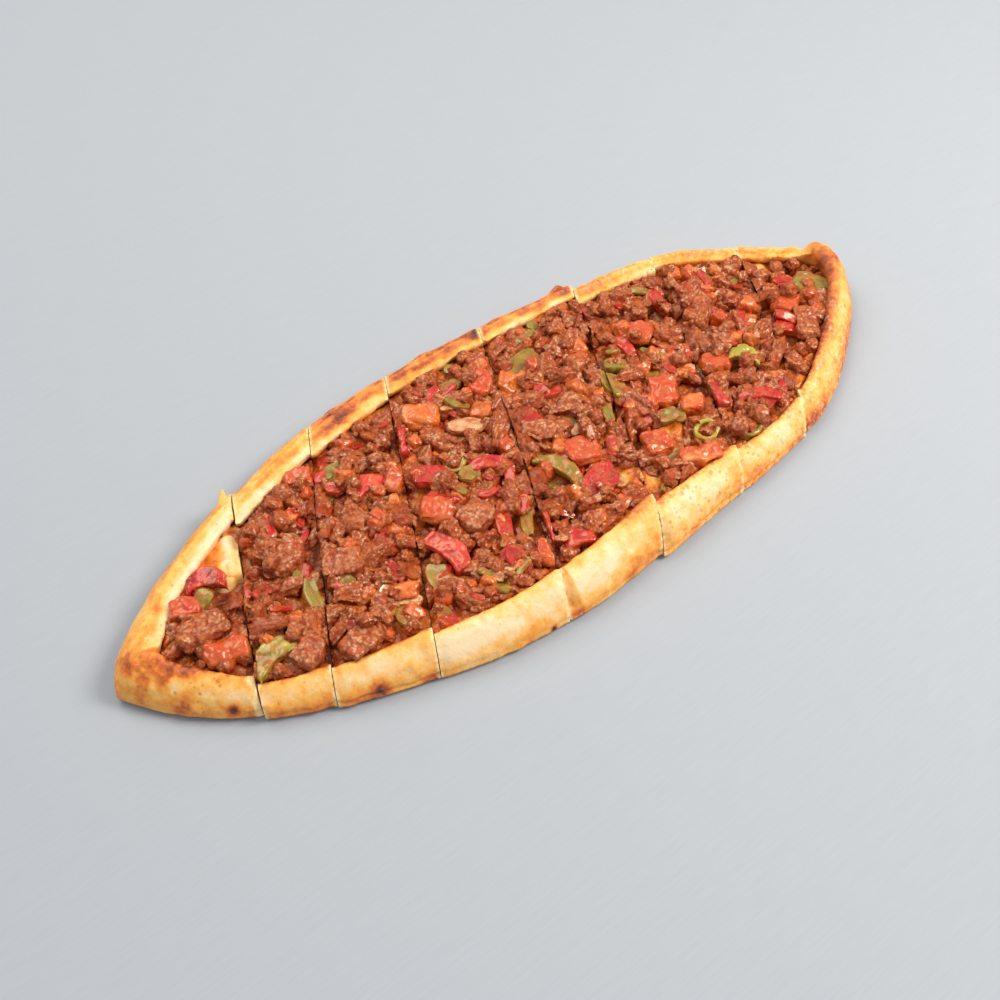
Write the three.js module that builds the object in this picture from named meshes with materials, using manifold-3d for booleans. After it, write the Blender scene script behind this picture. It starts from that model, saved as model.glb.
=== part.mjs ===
// A Turkish pide: a long boat of baked dough, its walls folded up and in over a bed of diced meat,
// tomato and peppers, and cut on a slant into eight slices that still lie together.
// Millimetres, +Z up. The origin is under the middle of the boat, on the surface it rests on.
// +X runs along the boat to its pinched tip, and +Y runs across it.
import * as THREE from "three";
import { mergeVertices } from "three/addons/utils/BufferGeometryUtils.js";
import Module from "manifold-3d";

const wasm = await Module();
wasm.setup();

// ---- Driving dimensions, mm ----
const LENGTH = 418.5;
const WIDTH = 167;
const FLOOR = 4.2; // dough under the topping
const STATIONS = 80; // around the outline
const CENTRE = { x: -0.8, y: 1.2 }; // of the outline, in the layout that places cuts and topping
const MIDDLE = { x: 0.55, y: -2.1 }; // of the cut boat in that layout, put over the origin

// How full the outline is towards each tip: 0.5 is an ellipse, more is more pointed.
const FULLNESS = {
  front: { left: 0.8, right: 0.51 },
  back: { left: 0.67, right: 0.56 },
};
// The middle line bows a little: how far it lies towards +Y at the left tip, middle and right tip.
const BOW = { left: 3.4, middle: -5, right: -4.4 };
// The hand-shaped outline wanders out and in: how many times round, how far and from what phase.
const WANDER = [
  { times: 3, reach: 1.8, phase: -0.2 }, { times: 4, reach: 1.1, phase: -1.5 },
  { times: 6, reach: 0.9, phase: 2.6 }, { times: 7, reach: 1.7, phase: -1.6 },
  { times: 8, reach: 0.8, phase: 2.5 },
];
const WANDER_ALONG = 0.6; // how much of it moves the outline along the boat

// The folded wall in section, from under the floor, round the foot, over the crest and down inside.
// Each pair is a share of the rim's width, measured in from the foot, and a height.
// The front is a flap laid inwards, and the back is a roll with a lip.
const FRONT_WALL = [
  [0.44, 0], [0.1, 0.3], [0, 2.4], [0.07, 7.6], [0.27, 12.8], [0.53, 17], [0.75, 18.9], [0.91, 18.8],
  [1, 17.2], [0.72, 8.4], [0.8, FLOOR],
];
const BACK_WALL = [
  [0.44, 0], [0.1, 0.3], [0, 2.4], [0.04, 8], [0.18, 13.8], [0.39, 17.8], [0.58, 18.4], [0.75, 17],
  [0.95, 17.2], [0.72, 8.4], [0.8, FLOOR],
];
const TIP_DEPTH = { left: 1.3, right: 1.05 }; // how much deeper the wall is at each tip
// The right tip is pinched up, falling away slowly to the front and sharply to the back.
// Each spread is in radians round the outline.
const PINCH = { height: 7.5, frontSpread: 0.3, backSpread: 0.12 };
// The front flap laps over the back wall at the left tip: it steps up and falls away, in radians.
const LAP = { height: 1.6, step: 0.16, spread: 0.6 };
// A bubble in the dough floor, beside the first cut.
const BUBBLE = { x: -143, y: 26, length: 30, width: 19, top: 15.5, turn: 65 };

// Each knife cut crosses the long axis at x, leaning this many degrees from square.
const CUTS = [
  { x: -147, lean: 25 }, { x: -110, lean: 29 }, { x: -63, lean: 27.5 }, { x: -2, lean: 25 },
  { x: 55, lean: 26.5 }, { x: 105, lean: 26 }, { x: 154, lean: 29 },
];
const KERF = 0.9;
const SLICE_TURN = 1.3; // degrees that the knife turned each slice

// Each slice: how far it slid along the boat and along the cuts, and the width of its rim at its
// left and right ends.
const SLICES = [
  { slide: -1.2, slip: 0.6, front: [16.2, 12.6], back: [22.5, 15.5] },
  { slide: 0, slip: -0.5, front: [12.4, 15.6], back: [20.5, 22] },
  { slide: 0, slip: -0.6, front: [14.7, 17], back: [23, 20.5] },
  { slide: 0.1, slip: -0.2, front: [15.4, 17.2], back: [18.5, 17.5] },
  { slide: 0.2, slip: 0.8, front: [17.2, 18.8], back: [17.5, 15] },
  { slide: 0.3, slip: -1.3, front: [17.8, 16.6], back: [19, 18.5] },
  { slide: 0.4, slip: -0.3, front: [15.6, 13.4], back: [15, 16] },
  { slide: 0.6, slip: 1.4, front: [14, 17], back: [16.5, 16] },
];
const FULL_RIM = 17; // the front rim's width at the heights given above

// ---- Topping ----
const BED_TOP = 11.8; // height of the sauce between the dice
const DICE_TOP = 17; // height of the dice in the middle of the heap
const CLEARANCE = 0.45; // between pieces that touch
const HEAP = { middle: 1.2, fall: 2.6, wall: 17 }; // rise above DICE_TOP, and its fall to the walls
// The dice lie in uneven rows. Crest is a die's top as a share of its foot, and each spread is the
// range that chance adds.
const DICE = {
  pitch: 13.6, rowShare: 0.87, placeSpread: 6, topSpread: 2.4, leanSpread: 0.3, crest: 0.68,
  crestSpread: 0.24,
};
const CLEAR_OF_OWN = 3.4; // how far the dice keep from a piece of its own
const CLEAR_OF_FUSED = 1.5; // and from a fused piece
const PIECE_TILT = 16; // degrees, the spread of a placed piece's tilt
const OWN_NODE_AREA = 131; // a placed piece with a larger footprint is a node of its own
const RING_WALL = 2.8; // thickness of a pepper ring's flesh

// The pieces that stand out: kind, x, y, length, width, height and turn in degrees.
const PLACED = [
  ["red_pepper", -153, 21, 18, 10, 4.5, -30], ["red_pepper", -147, 11, 14, 8, 4.5, -35],
  ["tomato", -167, 15, 13, 11, 7, -20], ["meat", -166, 1, 22, 15, 8, -7],
  ["tomato", -164, -14, 19, 11, 7, -16], ["tomato", -92, 46, 13, 11, 7, -30],
  ["green_pepper", -150, -28, 24, 11, 4.5, 6], ["meat", -138, -35, 13, 12, 8, 20],
  ["green_pepper", -122, -11, 17, 7, 4.5, 74], ["meat", -121, 11, 18, 14, 8, 30],
  ["red_pepper", -80, 44, 17, 7, 4.5, 12], ["red_pepper", -71, 20, 20, 9, 4.5, 0],
  ["meat", -103, -6, 18, 14, 8, -35], ["meat", -119, -43, 17, 13, 8, 10],
  ["green_pepper", -96, -46, 16, 7, 4.5, 62], ["tomato", -90, -34, 11, 9, 7, -30],
  ["red_pepper", -42, 36, 18, 8, 4.5, 60], ["tomato", -27, 42, 18, 13, 7, -32],
  ["red_pepper", -45, 10, 16, 8, 4.5, -36], ["tomato", -54, -8, 16, 13, 7, -38],
  ["red_pepper", -65, -29, 26, 11, 4.5, -84], ["green_pepper", -75, -37, 14, 6, 4.5, 80],
  ["red_pepper", -83, -53, 13, 6, 4.5, -85], ["green_ring", -31, 9, 15, 11, 5, 40],
  ["meat", -43, -22, 16, 15, 8, 15], ["red_pepper", -35, -31, 19, 6, 4.5, 58],
  ["red_pepper", -20, -5, 22, 7, 4.5, -38], ["tomato", 8, 40, 15, 11, 7, 50],
  ["tomato", -1, 27, 11, 10, 7, 40], ["green_pepper", 6, 55, 17, 6, 4.5, -84],
  ["tomato", 20, 34, 13, 10, 7, 50], ["green_pepper", 33, 38, 18, 7, 4.5, 8],
  ["green_pepper", 2, -26, 28, 8, 4.5, -76], ["tomato", 18, -24, 17, 15, 7, -30],
  ["red_pepper", 12, -42, 20, 6.5, 4.5, 17], ["red_pepper", -22, -46, 20, 7, 4.5, 58],
  ["green_pepper", -27, -38, 14, 6, 4.5, 58], ["tomato", -31, -58, 13, 11, 7, 50],
  ["red_pepper", -17, -62, 14, 10, 4.5, -20], ["red_pepper", 77, 17, 19, 7, 4.5, -86],
  ["tomato", 73, -18, 18, 14, 7, 54], ["green_pepper", 66, 9, 18, 8, 4.5, -42],
  ["tomato", 91, 18, 13, 12, 7, 45], ["tomato", 77, -33, 12, 11, 7, -35],
  ["tomato", 48, -40, 14, 13, 7, -20], ["green_ring", 71, -49, 14, 13, 5, 0],
  ["tomato", 58, -58, 20, 11, 7, -34], ["green_pepper", 42, -14, 13, 6, 4.5, 60],
  ["red_pepper", 116, 29, 20, 7.5, 4.5, 74], ["tomato", 96, -5, 13, 11, 7, -30],
  ["tomato", 104, -20, 14, 11, 7, -34], ["green_pepper", 118, -27, 16, 9, 4.5, -48],
  ["red_pepper", 91, -36, 17, 11, 4.5, 56], ["red_pepper", 104, -51, 21, 7, 4.5, -42],
  ["green_ring", 87, -60, 15, 13, 5, 0], ["red_pepper", 138, -6, 13, 9, 4.5, 60],
  ["red_pepper", 173, -1, 11, 9, 4.5, -40], ["tomato", 160, -14, 15, 13, 7, 20],
  ["red_pepper", 146, -27, 15, 9, 4.5, -40], ["green_pepper", 181, -13, 18, 6, 4.5, -70],
  ["meat", 157, -31, 21, 12, 8, 55], ["meat", 124, 12, 20, 13, 8, 40],
];

const radians = THREE.MathUtils.degToRad;
const mix = THREE.MathUtils.lerp;
const smooth = THREE.MathUtils.smoothstep;
const clamp = THREE.MathUtils.clamp;

// A repeatable number from 0 to 1 for item n and use k.
function chance(n, k) {
  const s = Math.sin(n * 12.9898 + k * 78.233) * 43758.5453;
  return s - Math.floor(s);
}

// ---- Outline ----

// The middle line's place across the boat, at a share t of the length.
function bow(t) {
  return mix(mix(BOW.left, BOW.right, t), BOW.middle, Math.sin(Math.PI * t) ** 0.8);
}

// The half width at a share t of the length, for an outline this much inside the foot.
function halfWidth(t, front, inset) {
  const side = front ? FULLNESS.front : FULLNESS.back;
  const fullness = mix(side.left, side.right, smooth(t, 0, 1));
  return (WIDTH / 2 - inset) * (4 * t * (1 - t)) ** fullness;
}

// A point of the outline at an angle round it: 0 is the left tip, and the front comes first.
function outlinePoint(angle, inset) {
  const t = (1 - Math.cos(angle)) / 2;
  const front = Math.sin(angle) >= 0;
  const depth = inset * mix(TIP_DEPTH.left, TIP_DEPTH.right, t);
  const out = WANDER.reduce((sum, w) => sum + w.reach * Math.sin(w.times * angle + w.phase), 0);
  const x = -(LENGTH / 2 - depth + WANDER_ALONG * out) * Math.cos(angle);
  const y = bow(t) + (front ? -1 : 1) * halfWidth(t, front, inset) - out * Math.sin(angle);
  return [CENTRE.x + x, CENTRE.y + y];
}

const cutAt = (cut, y) => cut.x + Math.tan(radians(cut.lean)) * y;
const sliceAt = (x, y) => CUTS.filter((cut) => x > cutAt(cut, y)).length;

// ---- Dough ----

// The width of one slice's rim at an angle round the outline.
function rimWidth(slice, angle) {
  const flap = smooth(Math.sin(angle), -0.25, 0.25);
  const [x, y] = outlinePoint(angle, 0);
  const left = slice > 0 ? cutAt(CUTS[slice - 1], y) : -LENGTH / 2;
  const right = slice < CUTS.length ? cutAt(CUTS[slice], y) : LENGTH / 2;
  const share = clamp((x - left) / (right - left), 0, 1);
  const { front, back } = SLICES[slice];
  return mix(mix(back[0], back[1], share), mix(front[0], front[1], share), flap);
}

// How far hand folding lifts the crest at an angle.
function crestLift(angle) {
  const uneven = 0.5 * Math.sin(5 * angle + 0.6) + 0.45 * Math.sin(11 * angle + 2);
  const spread = angle < Math.PI ? PINCH.frontSpread : PINCH.backSpread;
  const pinch = PINCH.height * Math.exp(-(((angle - Math.PI) / spread) ** 2));
  const lap = LAP.height * smooth(angle, 0, LAP.step) * (1 - smooth(angle, LAP.step, LAP.spread));
  return uneven + pinch + lap;
}

// One slice's wall in section at an angle, with every face moved out by a gap.
function wallSection(slice, angle, gap) {
  const flap = smooth(Math.sin(angle), -0.25, 0.25);
  const width = rimWidth(slice, angle);
  const tall = mix(1, width / FULL_RIM, flap);
  const lift = crestLift(angle);
  const section = FRONT_WALL.map(([share, height], i) => {
    const inset = width * mix(BACK_WALL[i][0], share, flap);
    const level = mix(BACK_WALL[i][1], height, flap);
    const raised = level > FLOOR ? FLOOR + (level - FLOOR) * tall : level;
    return [inset, raised + lift * smooth(level, FLOOR + 1, 17)];
  });
  const points = section.map(([inset, height]) => new THREE.Vector2(inset, height));
  const outward = points.slice(1).map((point, i) => {
    const along = point.clone().sub(points[i]).normalize();
    return new THREE.Vector2(-along.y, along.x);
  });
  return points.map((point, i) => {
    const before = outward[Math.max(i - 1, 0)];
    const after = outward[Math.min(i, outward.length - 1)];
    const mitre = before.clone().add(after).divideScalar(1 + before.dot(after));
    return point.addScaledVector(mitre, gap).toArray();
  });
}

// A closed solid from rings of points, with a flat cap on the first and the last ring.
function solidFromRings(rings) {
  const count = rings[0].length;
  const index = [];
  rings.slice(1).forEach((_, level) => {
    for (let i = 0; i < count; i++) {
      const a = level * count + i;
      const b = level * count + ((i + 1) % count);
      index.push(a, b, b + count, a, b + count, a + count);
    }
  });
  const cap = (level, turned) => {
    const flat = rings[level].map(([x, y]) => new THREE.Vector2(x, y));
    THREE.ShapeUtils.triangulateShape(flat, []).forEach(([a, b, c]) => {
      const base = level * count;
      index.push(base + a, base + (turned ? c : b), base + (turned ? b : c));
    });
  };
  cap(0, true);
  cap(rings.length - 1, false);
  const geometry = new THREE.BufferGeometry();
  geometry.setAttribute("position", new THREE.Float32BufferAttribute(rings.flat(2), 3));
  geometry.setIndex(index);
  return toManifold(geometry);
}

const anglesAround = (count) => Array.from({ length: count }, (_, i) => (2 * Math.PI * i) / count);

// The bubble as a dome on the dough, grown by a gap.
function doughBubble(gap) {
  const { x, y, length, width, top, turn } = BUBBLE;
  const base = FLOOR / 2;
  const [a, b] = [length / 2 + gap, width / 2 + gap];
  const rings = [0, 18, 36, 54, 72].map((rise) => {
    const [across, up] = [Math.cos(radians(rise)), Math.sin(radians(rise))];
    return anglesAround(14).map((angle) => {
      const along = new THREE.Vector2(a * Math.cos(angle), b * Math.sin(angle));
      along.multiplyScalar(across).rotateAround(new THREE.Vector2(), radians(turn));
      return [x + along.x, y + along.y, base + (top - base + gap) * up];
    });
  });
  return solidFromRings(rings);
}

// The whole boat with one slice's rim, grown by a gap on every face.
function doughBoat(slice, gap) {
  const angles = anglesAround(STATIONS);
  const sections = angles.map((angle) => wallSection(slice, angle, gap));
  const boat = solidFromRings(
    FRONT_WALL.map((_, level) =>
      angles.map((angle, i) => {
        const [inset, height] = sections[i][level];
        return [...outlinePoint(angle, inset), height];
      }),
    ),
  );
  return boat.add(doughBubble(gap));
}

// ---- Solids ----

function toManifold(geometry) {
  const merged = mergeVertices(geometry, 1e-4);
  return new wasm.Manifold(
    new wasm.Mesh({
      numProp: 3,
      vertProperties: new Float32Array(merged.attributes.position.array),
      triVerts: new Uint32Array(merged.index.array),
    }),
  );
}

function toGeometry(solid) {
  const { vertProperties, triVerts } = solid.getMesh();
  const geometry = new THREE.BufferGeometry();
  geometry.setAttribute("position", new THREE.BufferAttribute(vertProperties, 3));
  geometry.setIndex(new THREE.BufferAttribute(triVerts, 1));
  return geometry;
}

// Only positions are kept, so that corners can be merged.
function bare(geometry) {
  geometry.deleteAttribute("normal");
  geometry.deleteAttribute("uv");
  return mergeVertices(geometry, 1e-4);
}

// A boolean can leave small scraps: only the largest body is kept.
function largestBody(solid) {
  return solid.decompose().sort((a, b) => b.volume() - a.volume())[0];
}

// Everything beyond a cut and half its kerf, on the side given, as a big box.
function beyondCut(cut, side) {
  const big = 600;
  const box = new THREE.BoxGeometry(big, big, big);
  box.translate((side * (big - KERF)) / 2, 0, 0);
  box.rotateZ(-radians(cut.lean));
  box.translate(cut.x, 0, 0);
  return toManifold(bare(box));
}

// The share of a solid that lies in one slice.
function sliceOf(solid, slice) {
  let piece = solid;
  if (slice > 0) piece = piece.subtract(beyondCut(CUTS[slice - 1], -1));
  if (slice < CUTS.length) piece = piece.subtract(beyondCut(CUTS[slice], 1));
  return largestBody(piece);
}

// ---- Topping pieces ----
// Each is centred on its own origin with its length along X. A gap grows it on every side, to clear
// a place for it.

// A small knife-cut die with its corners moved by chance.
function dieShape({ length, width, height, seed }, gap) {
  const die = bare(new THREE.BoxGeometry(length + 2 * gap, width + 2 * gap, height + 2 * gap));
  const position = die.attributes.position;
  for (let i = 0; i < position.count; i++) {
    const [x, y, z] = [1, 2, 3].map((k) => 1 + 0.34 * (chance(seed + i, k) - 0.5));
    position.setXYZ(i, position.getX(i) * x, position.getY(i) * y, position.getZ(i) * z);
  }
  return die;
}

// A larger die, with its edges eased.
function chunkShape({ length, width, height, seed }, gap) {
  const chunk = bare(new THREE.BoxGeometry(1, 1, 1, 2, 2, 2));
  const position = chunk.attributes.position;
  const point = new THREE.Vector3();
  const round = new THREE.Vector3();
  const size = new THREE.Vector3(length, width, height).addScalar(2.2 * gap);
  for (let i = 0; i < position.count; i++) {
    point.fromBufferAttribute(position, i);
    round.copy(point).setLength(0.62);
    point.lerp(round, 0.5).multiply(size).multiplyScalar(1 + 0.14 * (chance(seed + i, 1) - 0.5));
    position.setXYZ(i, point.x, point.y, point.z);
  }
  return chunk;
}

// A strip of pepper, bent along its length and tapered to its ends.
function stripShape({ length, width, height, seed }, gap) {
  const bend = width * (0.5 + 0.5 * chance(seed, 4));
  const size = [length, width, height].map((side) => side + 2.6 * gap);
  const strip = bare(new THREE.BoxGeometry(...size, 4, 1, 1));
  const position = strip.attributes.position;
  for (let i = 0; i < position.count; i++) {
    const share = (2 * position.getX(i)) / size[0];
    const curve = share * share;
    position.setY(i, position.getY(i) * (1 - 0.25 * curve) + bend * (0.4 - 0.5 * curve));
    position.setZ(i, position.getZ(i) + height * (0.2 - 0.35 * curve));
  }
  return strip;
}

// A slice across a pepper: an uneven ring.
function ringShape({ length, width, height }, gap) {
  const wall = RING_WALL + 2 * gap;
  const [a, b] = [length / 2 + gap, width / 2 + gap];
  const outer = new THREE.Shape().absellipse(0, 0, a, b, 0, 2 * Math.PI);
  const hole = new THREE.Path().absellipse(0, 0, a - wall, b - wall, 0, 2 * Math.PI);
  outer.holes.push(hole);
  const depth = height + 2 * gap;
  const ring = new THREE.ExtrudeGeometry(outer, { depth, bevelEnabled: false, curveSegments: 4 });
  ring.translate(0, 0, -depth / 2);
  return bare(ring);
}

const OWN_SHAPES = {
  meat: chunkShape, tomato: chunkShape, red_pepper: stripShape, green_pepper: stripShape,
  green_ring: ringShape,
};

// One piece in place. A piece of its own lies on the bed, and a fused one is sunk in it.
function toppingPiece(piece, gap = 0) {
  const shape = piece.own ? OWN_SHAPES[piece.kind] : dieShape;
  const geometry = shape(piece, gap);
  geometry.rotateX(radians(piece.tilt[0]));
  geometry.rotateY(radians(piece.tilt[1]));
  geometry.rotateZ(radians(piece.turn));
  geometry.computeBoundingBox();
  const onBed = BED_TOP + CLEARANCE - gap - geometry.boundingBox.min.z;
  const z = piece.own ? onBed : piece.z;
  geometry.translate(piece.x, piece.y, z);
  return toManifold(geometry);
}

// How far x, y is from the middle line, as a share of the way to an outline inside the foot.
function shareAcross(x, y, inset) {
  const t = clamp((x - CENTRE.x) / (LENGTH - 2 * inset) + 0.5, 0, 1);
  const across = y - CENTRE.y - bow(t);
  return Math.abs(across) / Math.max(halfWidth(t, across < 0, inset), 0.01);
}

// The topping is heaped in the middle and lower by the walls.
function heapRise(x, y) {
  return HEAP.middle - HEAP.fall * Math.min(shareAcross(x, y, HEAP.wall), 1) ** 2;
}

function placedPieces() {
  return PLACED.map(([kind, x, y, length, width, height, turn], i) => ({
    kind, x, y, length, width, height, turn,
    z: DICE_TOP + heapRise(x, y) - height / 2 - chance(i, 5),
    tilt: [PIECE_TILT * (chance(i, 6) - 0.5), PIECE_TILT * (chance(i, 7) - 0.5)],
    seed: 500 + 30 * i,
    own: length * width > OWN_NODE_AREA,
  }));
}

// The middle of the die in a row and column of the heap. Odd rows are set half a pitch along.
function dieMiddle(row, column) {
  const n = 100 * (row + 20) + column + 30;
  const { pitch, rowShare, placeSpread } = DICE;
  const x = (column + 0.5 * (row & 1)) * pitch + placeSpread * (chance(n, 1) - 0.5);
  const y = row * pitch * rowShare + placeSpread * (chance(n, 2) - 0.5);
  return { x, y, n };
}

// The meat heap before it is trimmed: six-sided dice pressed together, with sauce in the valleys
// between them. A die that would lie under a placed piece is left out.
function diceHeap(placed) {
  const rows = Math.ceil(WIDTH / DICE.pitch / DICE.rowShare / 2) + 1;
  const columns = Math.ceil(LENGTH / DICE.pitch / 2) + 1;
  const under = -FLOOR / 2;
  const corners = [];
  const point = (x, y, z) => corners.push(x, y, z);
  const wallTo = (a, b) => {
    point(...a);
    point(a[0], a[1], under);
    point(b[0], b[1], under);
    point(...a);
    point(b[0], b[1], under);
    point(...b);
  };
  const isInside = (row, column) => Math.abs(row) < rows && Math.abs(column) < columns;
  for (let row = 1 - rows; row < rows; row++) {
    for (let column = 1 - columns; column < columns; column++) {
      const die = dieMiddle(row, column);
      const odd = row & 1;
      const around = [
        [row, column + 1], [row + 1, column + odd], [row + 1, column + odd - 1],
        [row, column - 1], [row - 1, column + odd - 1], [row - 1, column + odd],
      ];
      const crowded = [...placed, BUBBLE].some((piece) => {
        const reach = (piece.length + piece.width) / 4 + (piece.own ? CLEAR_OF_OWN : CLEAR_OF_FUSED);
        return Math.hypot(piece.x - die.x, piece.y - die.y) < reach;
      });
      const rise = heapRise(die.x, die.y) + DICE.topSpread * (chance(die.n, 3) - 0.5);
      const top = DICE_TOP + rise;
      const lean = [4, 5].map((k) => DICE.leanSpread * (chance(die.n, k) - 0.5));
      const valley = around.map((next, i) => {
        const [a, b] = [dieMiddle(...next), dieMiddle(...around[(i + 1) % 6])];
        return [(die.x + a.x + b.x) / 3, (die.y + a.y + b.y) / 3, BED_TOP];
      });
      const crest = valley.map(([x, y], i) => {
        const size = DICE.crest + DICE.crestSpread * (chance(die.n, 6 + i) - 0.5);
        const [dx, dy] = [size * (x - die.x), size * (y - die.y)];
        return [die.x + dx, die.y + dy, top + lean[0] * dx + lean[1] * dy];
      });
      const cap = crowded ? valley : crest;
      for (let i = 0; i < 6; i++) {
        const next = (i + 1) % 6;
        if (i > 0 && i < 5) [cap[0], cap[i], cap[next]].forEach((corner) => point(...corner));
        if (!crowded) {
          [crest[i], valley[i], valley[next]].forEach((corner) => point(...corner));
          [crest[i], valley[next], crest[next]].forEach((corner) => point(...corner));
        }
        const beneath = [valley[0], valley[next], valley[i]].map(([x, y]) => [x, y, under]);
        if (i > 0 && i < 5) beneath.forEach((corner) => point(...corner));
        if (!isInside(...around[(i + 1) % 6])) wallTo(valley[i], valley[next]);
      }
    }
  }
  const geometry = new THREE.BufferGeometry();
  geometry.setAttribute("position", new THREE.Float32BufferAttribute(corners, 3));
  return toManifold(geometry);
}

// The room for one slice's topping: from the floor up the wall, under the lip and straight up.
function trough(slice) {
  const angles = anglesAround(STATIONS / 2);
  const sections = angles.map((angle) => wallSection(slice, angle, 1.5 * CLEARANCE));
  const last = FRONT_WALL.length - 1;
  const ring = (level, rise) =>
    angles.map((angle, i) => {
      const [inset, height] = sections[i][level];
      return [...outlinePoint(angle, inset), height + rise];
    });
  const above = DICE_TOP;
  return solidFromRings([
    ring(last, CLEARANCE), ring(last - 1, 0), ring(last - 2, 0), ring(last - 2, above),
  ]);
}

// ---- Assembly ----

const COLOURS = {
  dough: [0xe0a860, 0.8], heap: [0x9a4f2c, 0.5], meat: [0x8f5236, 0.5], tomato: [0xc8502c, 0.4],
  red_pepper: [0xb5241c, 0.35], green_pepper: [0x7d7a2a, 0.4], green_ring: [0x8a8430, 0.4],
};

function addNode(group, name, solid, colour) {
  const [color, roughness] = COLOURS[colour];
  const mesh = new THREE.Mesh(toGeometry(solid), new THREE.MeshStandardMaterial({ color, roughness }));
  mesh.name = name;
  group.add(mesh);
}

// The group that a slice's pieces stand in, turned about the slice's middle and slid into place.
function sliceGroup(slice) {
  const left = slice > 0 ? CUTS[slice - 1].x : -LENGTH / 2;
  const right = slice < CUTS.length ? CUTS[slice].x : LENGTH / 2;
  const middle = (left + right) / 2;
  const lean = radians(CUTS[Math.min(slice, CUTS.length - 1)].lean);
  const { slide, slip } = SLICES[slice];
  const over = new THREE.Vector3(MIDDLE.x, MIDDLE.y, 0);
  const turned = new THREE.Group();
  turned.position.set(middle + slide + slip * Math.sin(lean), slip * Math.cos(lean), 0).sub(over);
  turned.rotation.z = radians(SLICE_TURN);
  const contents = new THREE.Group();
  contents.position.x = -middle;
  turned.add(contents);
  return { turned, contents };
}

const placed = placedPieces();
const fused = placed.filter((piece) => !piece.own).map((piece) => toppingPiece(piece));
const heap = wasm.Manifold.union([diceHeap(placed), ...fused]);
const pide = new THREE.Group();
const counts = {};
SLICES.forEach((_, slice) => {
  const { turned, contents } = sliceGroup(slice);
  const boatWithGap = doughBoat(slice, CLEARANCE);
  let topping = sliceOf(trough(slice).intersect(heap), slice).subtract(doughBubble(CLEARANCE));
  const taken = [boatWithGap];
  placed.filter((piece) => piece.own && sliceAt(piece.x, piece.y) === slice).forEach((piece) => {
    const solid = taken.reduce((rest, other) => rest.subtract(other), toppingPiece(piece));
    const socket = toppingPiece(piece, CLEARANCE);
    taken.push(socket);
    topping = topping.subtract(socket);
    counts[piece.kind] = (counts[piece.kind] ?? 0) + 1;
    const number = String(counts[piece.kind]).padStart(2, "0");
    addNode(contents, `${piece.kind}_${number}`, sliceOf(solid, slice), piece.kind);
  });
  addNode(contents, `dough_slice_${slice + 1}`, sliceOf(doughBoat(slice, 0), slice), "dough");
  addNode(contents, `topping_heap_${slice + 1}`, largestBody(topping), "heap");
  pide.add(turned);
});

export default pide;
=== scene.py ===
"""A Turkish pide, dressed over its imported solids: baked dough cut into eight slices, a bed of sauce,
diced meat, and pieces of tomato, pepper and onion. Sizes are in millimetres until mm() makes them
metres. Layout places are those of the whole pide, before the knife moved its slices apart. Ripples
and draws by chance are told apart by a last number, which means nothing else."""

import math

import bpy
from mathutils import Matrix, Vector, noise
from mathutils.bvhtree import BVHTree


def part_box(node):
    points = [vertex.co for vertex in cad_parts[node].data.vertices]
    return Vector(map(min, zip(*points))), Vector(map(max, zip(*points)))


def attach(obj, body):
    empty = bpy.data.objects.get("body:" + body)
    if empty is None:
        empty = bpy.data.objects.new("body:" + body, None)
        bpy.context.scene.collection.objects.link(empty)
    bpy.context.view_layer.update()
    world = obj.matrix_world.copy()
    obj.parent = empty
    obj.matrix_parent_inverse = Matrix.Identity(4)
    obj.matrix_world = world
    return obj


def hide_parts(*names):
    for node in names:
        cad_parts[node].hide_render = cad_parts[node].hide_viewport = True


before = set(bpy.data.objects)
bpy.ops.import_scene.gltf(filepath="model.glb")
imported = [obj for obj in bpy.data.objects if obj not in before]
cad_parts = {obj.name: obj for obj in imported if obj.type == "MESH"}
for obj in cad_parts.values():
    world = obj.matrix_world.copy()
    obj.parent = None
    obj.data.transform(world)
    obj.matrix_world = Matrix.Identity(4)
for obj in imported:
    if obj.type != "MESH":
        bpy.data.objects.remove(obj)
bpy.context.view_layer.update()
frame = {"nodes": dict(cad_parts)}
nodes = frame["nodes"]

# ---- The layout of the solids, mm and degrees ----

LENGTH = 418.5
WIDTH = 167.0
MIDDLE = (0.55, -2.1)  # of the cut boat in the layout, which stands over the origin
FOOT_HEIGHT = 2.4  # where the wall is widest
CUTS = ((-147, 25), (-110, 29), (-63, 27.5), (-2, 25), (55, 26.5), (105, 26), (154, 29))  # x, lean
SLICES = len(CUTS) + 1
KERF = 0.9
SLICE_TURN = 1.3
# How far each slice slid along the boat and along its cut.
SLIDES = (
    (-1.2, 0.6), (0, -0.5), (0, -0.6), (0.1, -0.2), (0.2, 0.8), (0.3, -1.3), (0.4, -0.3), (0.6, 1.4)
)
# The width of each slice's rim at its left and right ends.
FRONT_RIMS = (
    (16.2, 12.6), (12.4, 15.6), (14.7, 17), (15.4, 17.2), (17.2, 18.8), (17.8, 16.6), (15.6, 13.4),
    (14, 17),
)
BACK_RIMS = (
    (22.5, 15.5), (20.5, 22), (23, 20.5), (18.5, 17.5), (17.5, 15), (19, 18.5), (15, 16), (16.5, 16)
)
JOINT_GAPS = (0.8, 0.4, 0.4, 0.3, 0.3, 0.25, 0.25)  # left open at each cut
TOPPING_OPENNESS = 0.2  # the topping's share of those gaps
BED_TOP = 11.8
BUBBLE = (-139, 31, 16)  # the bare swollen floor in the first slice: x, y and reach
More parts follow.
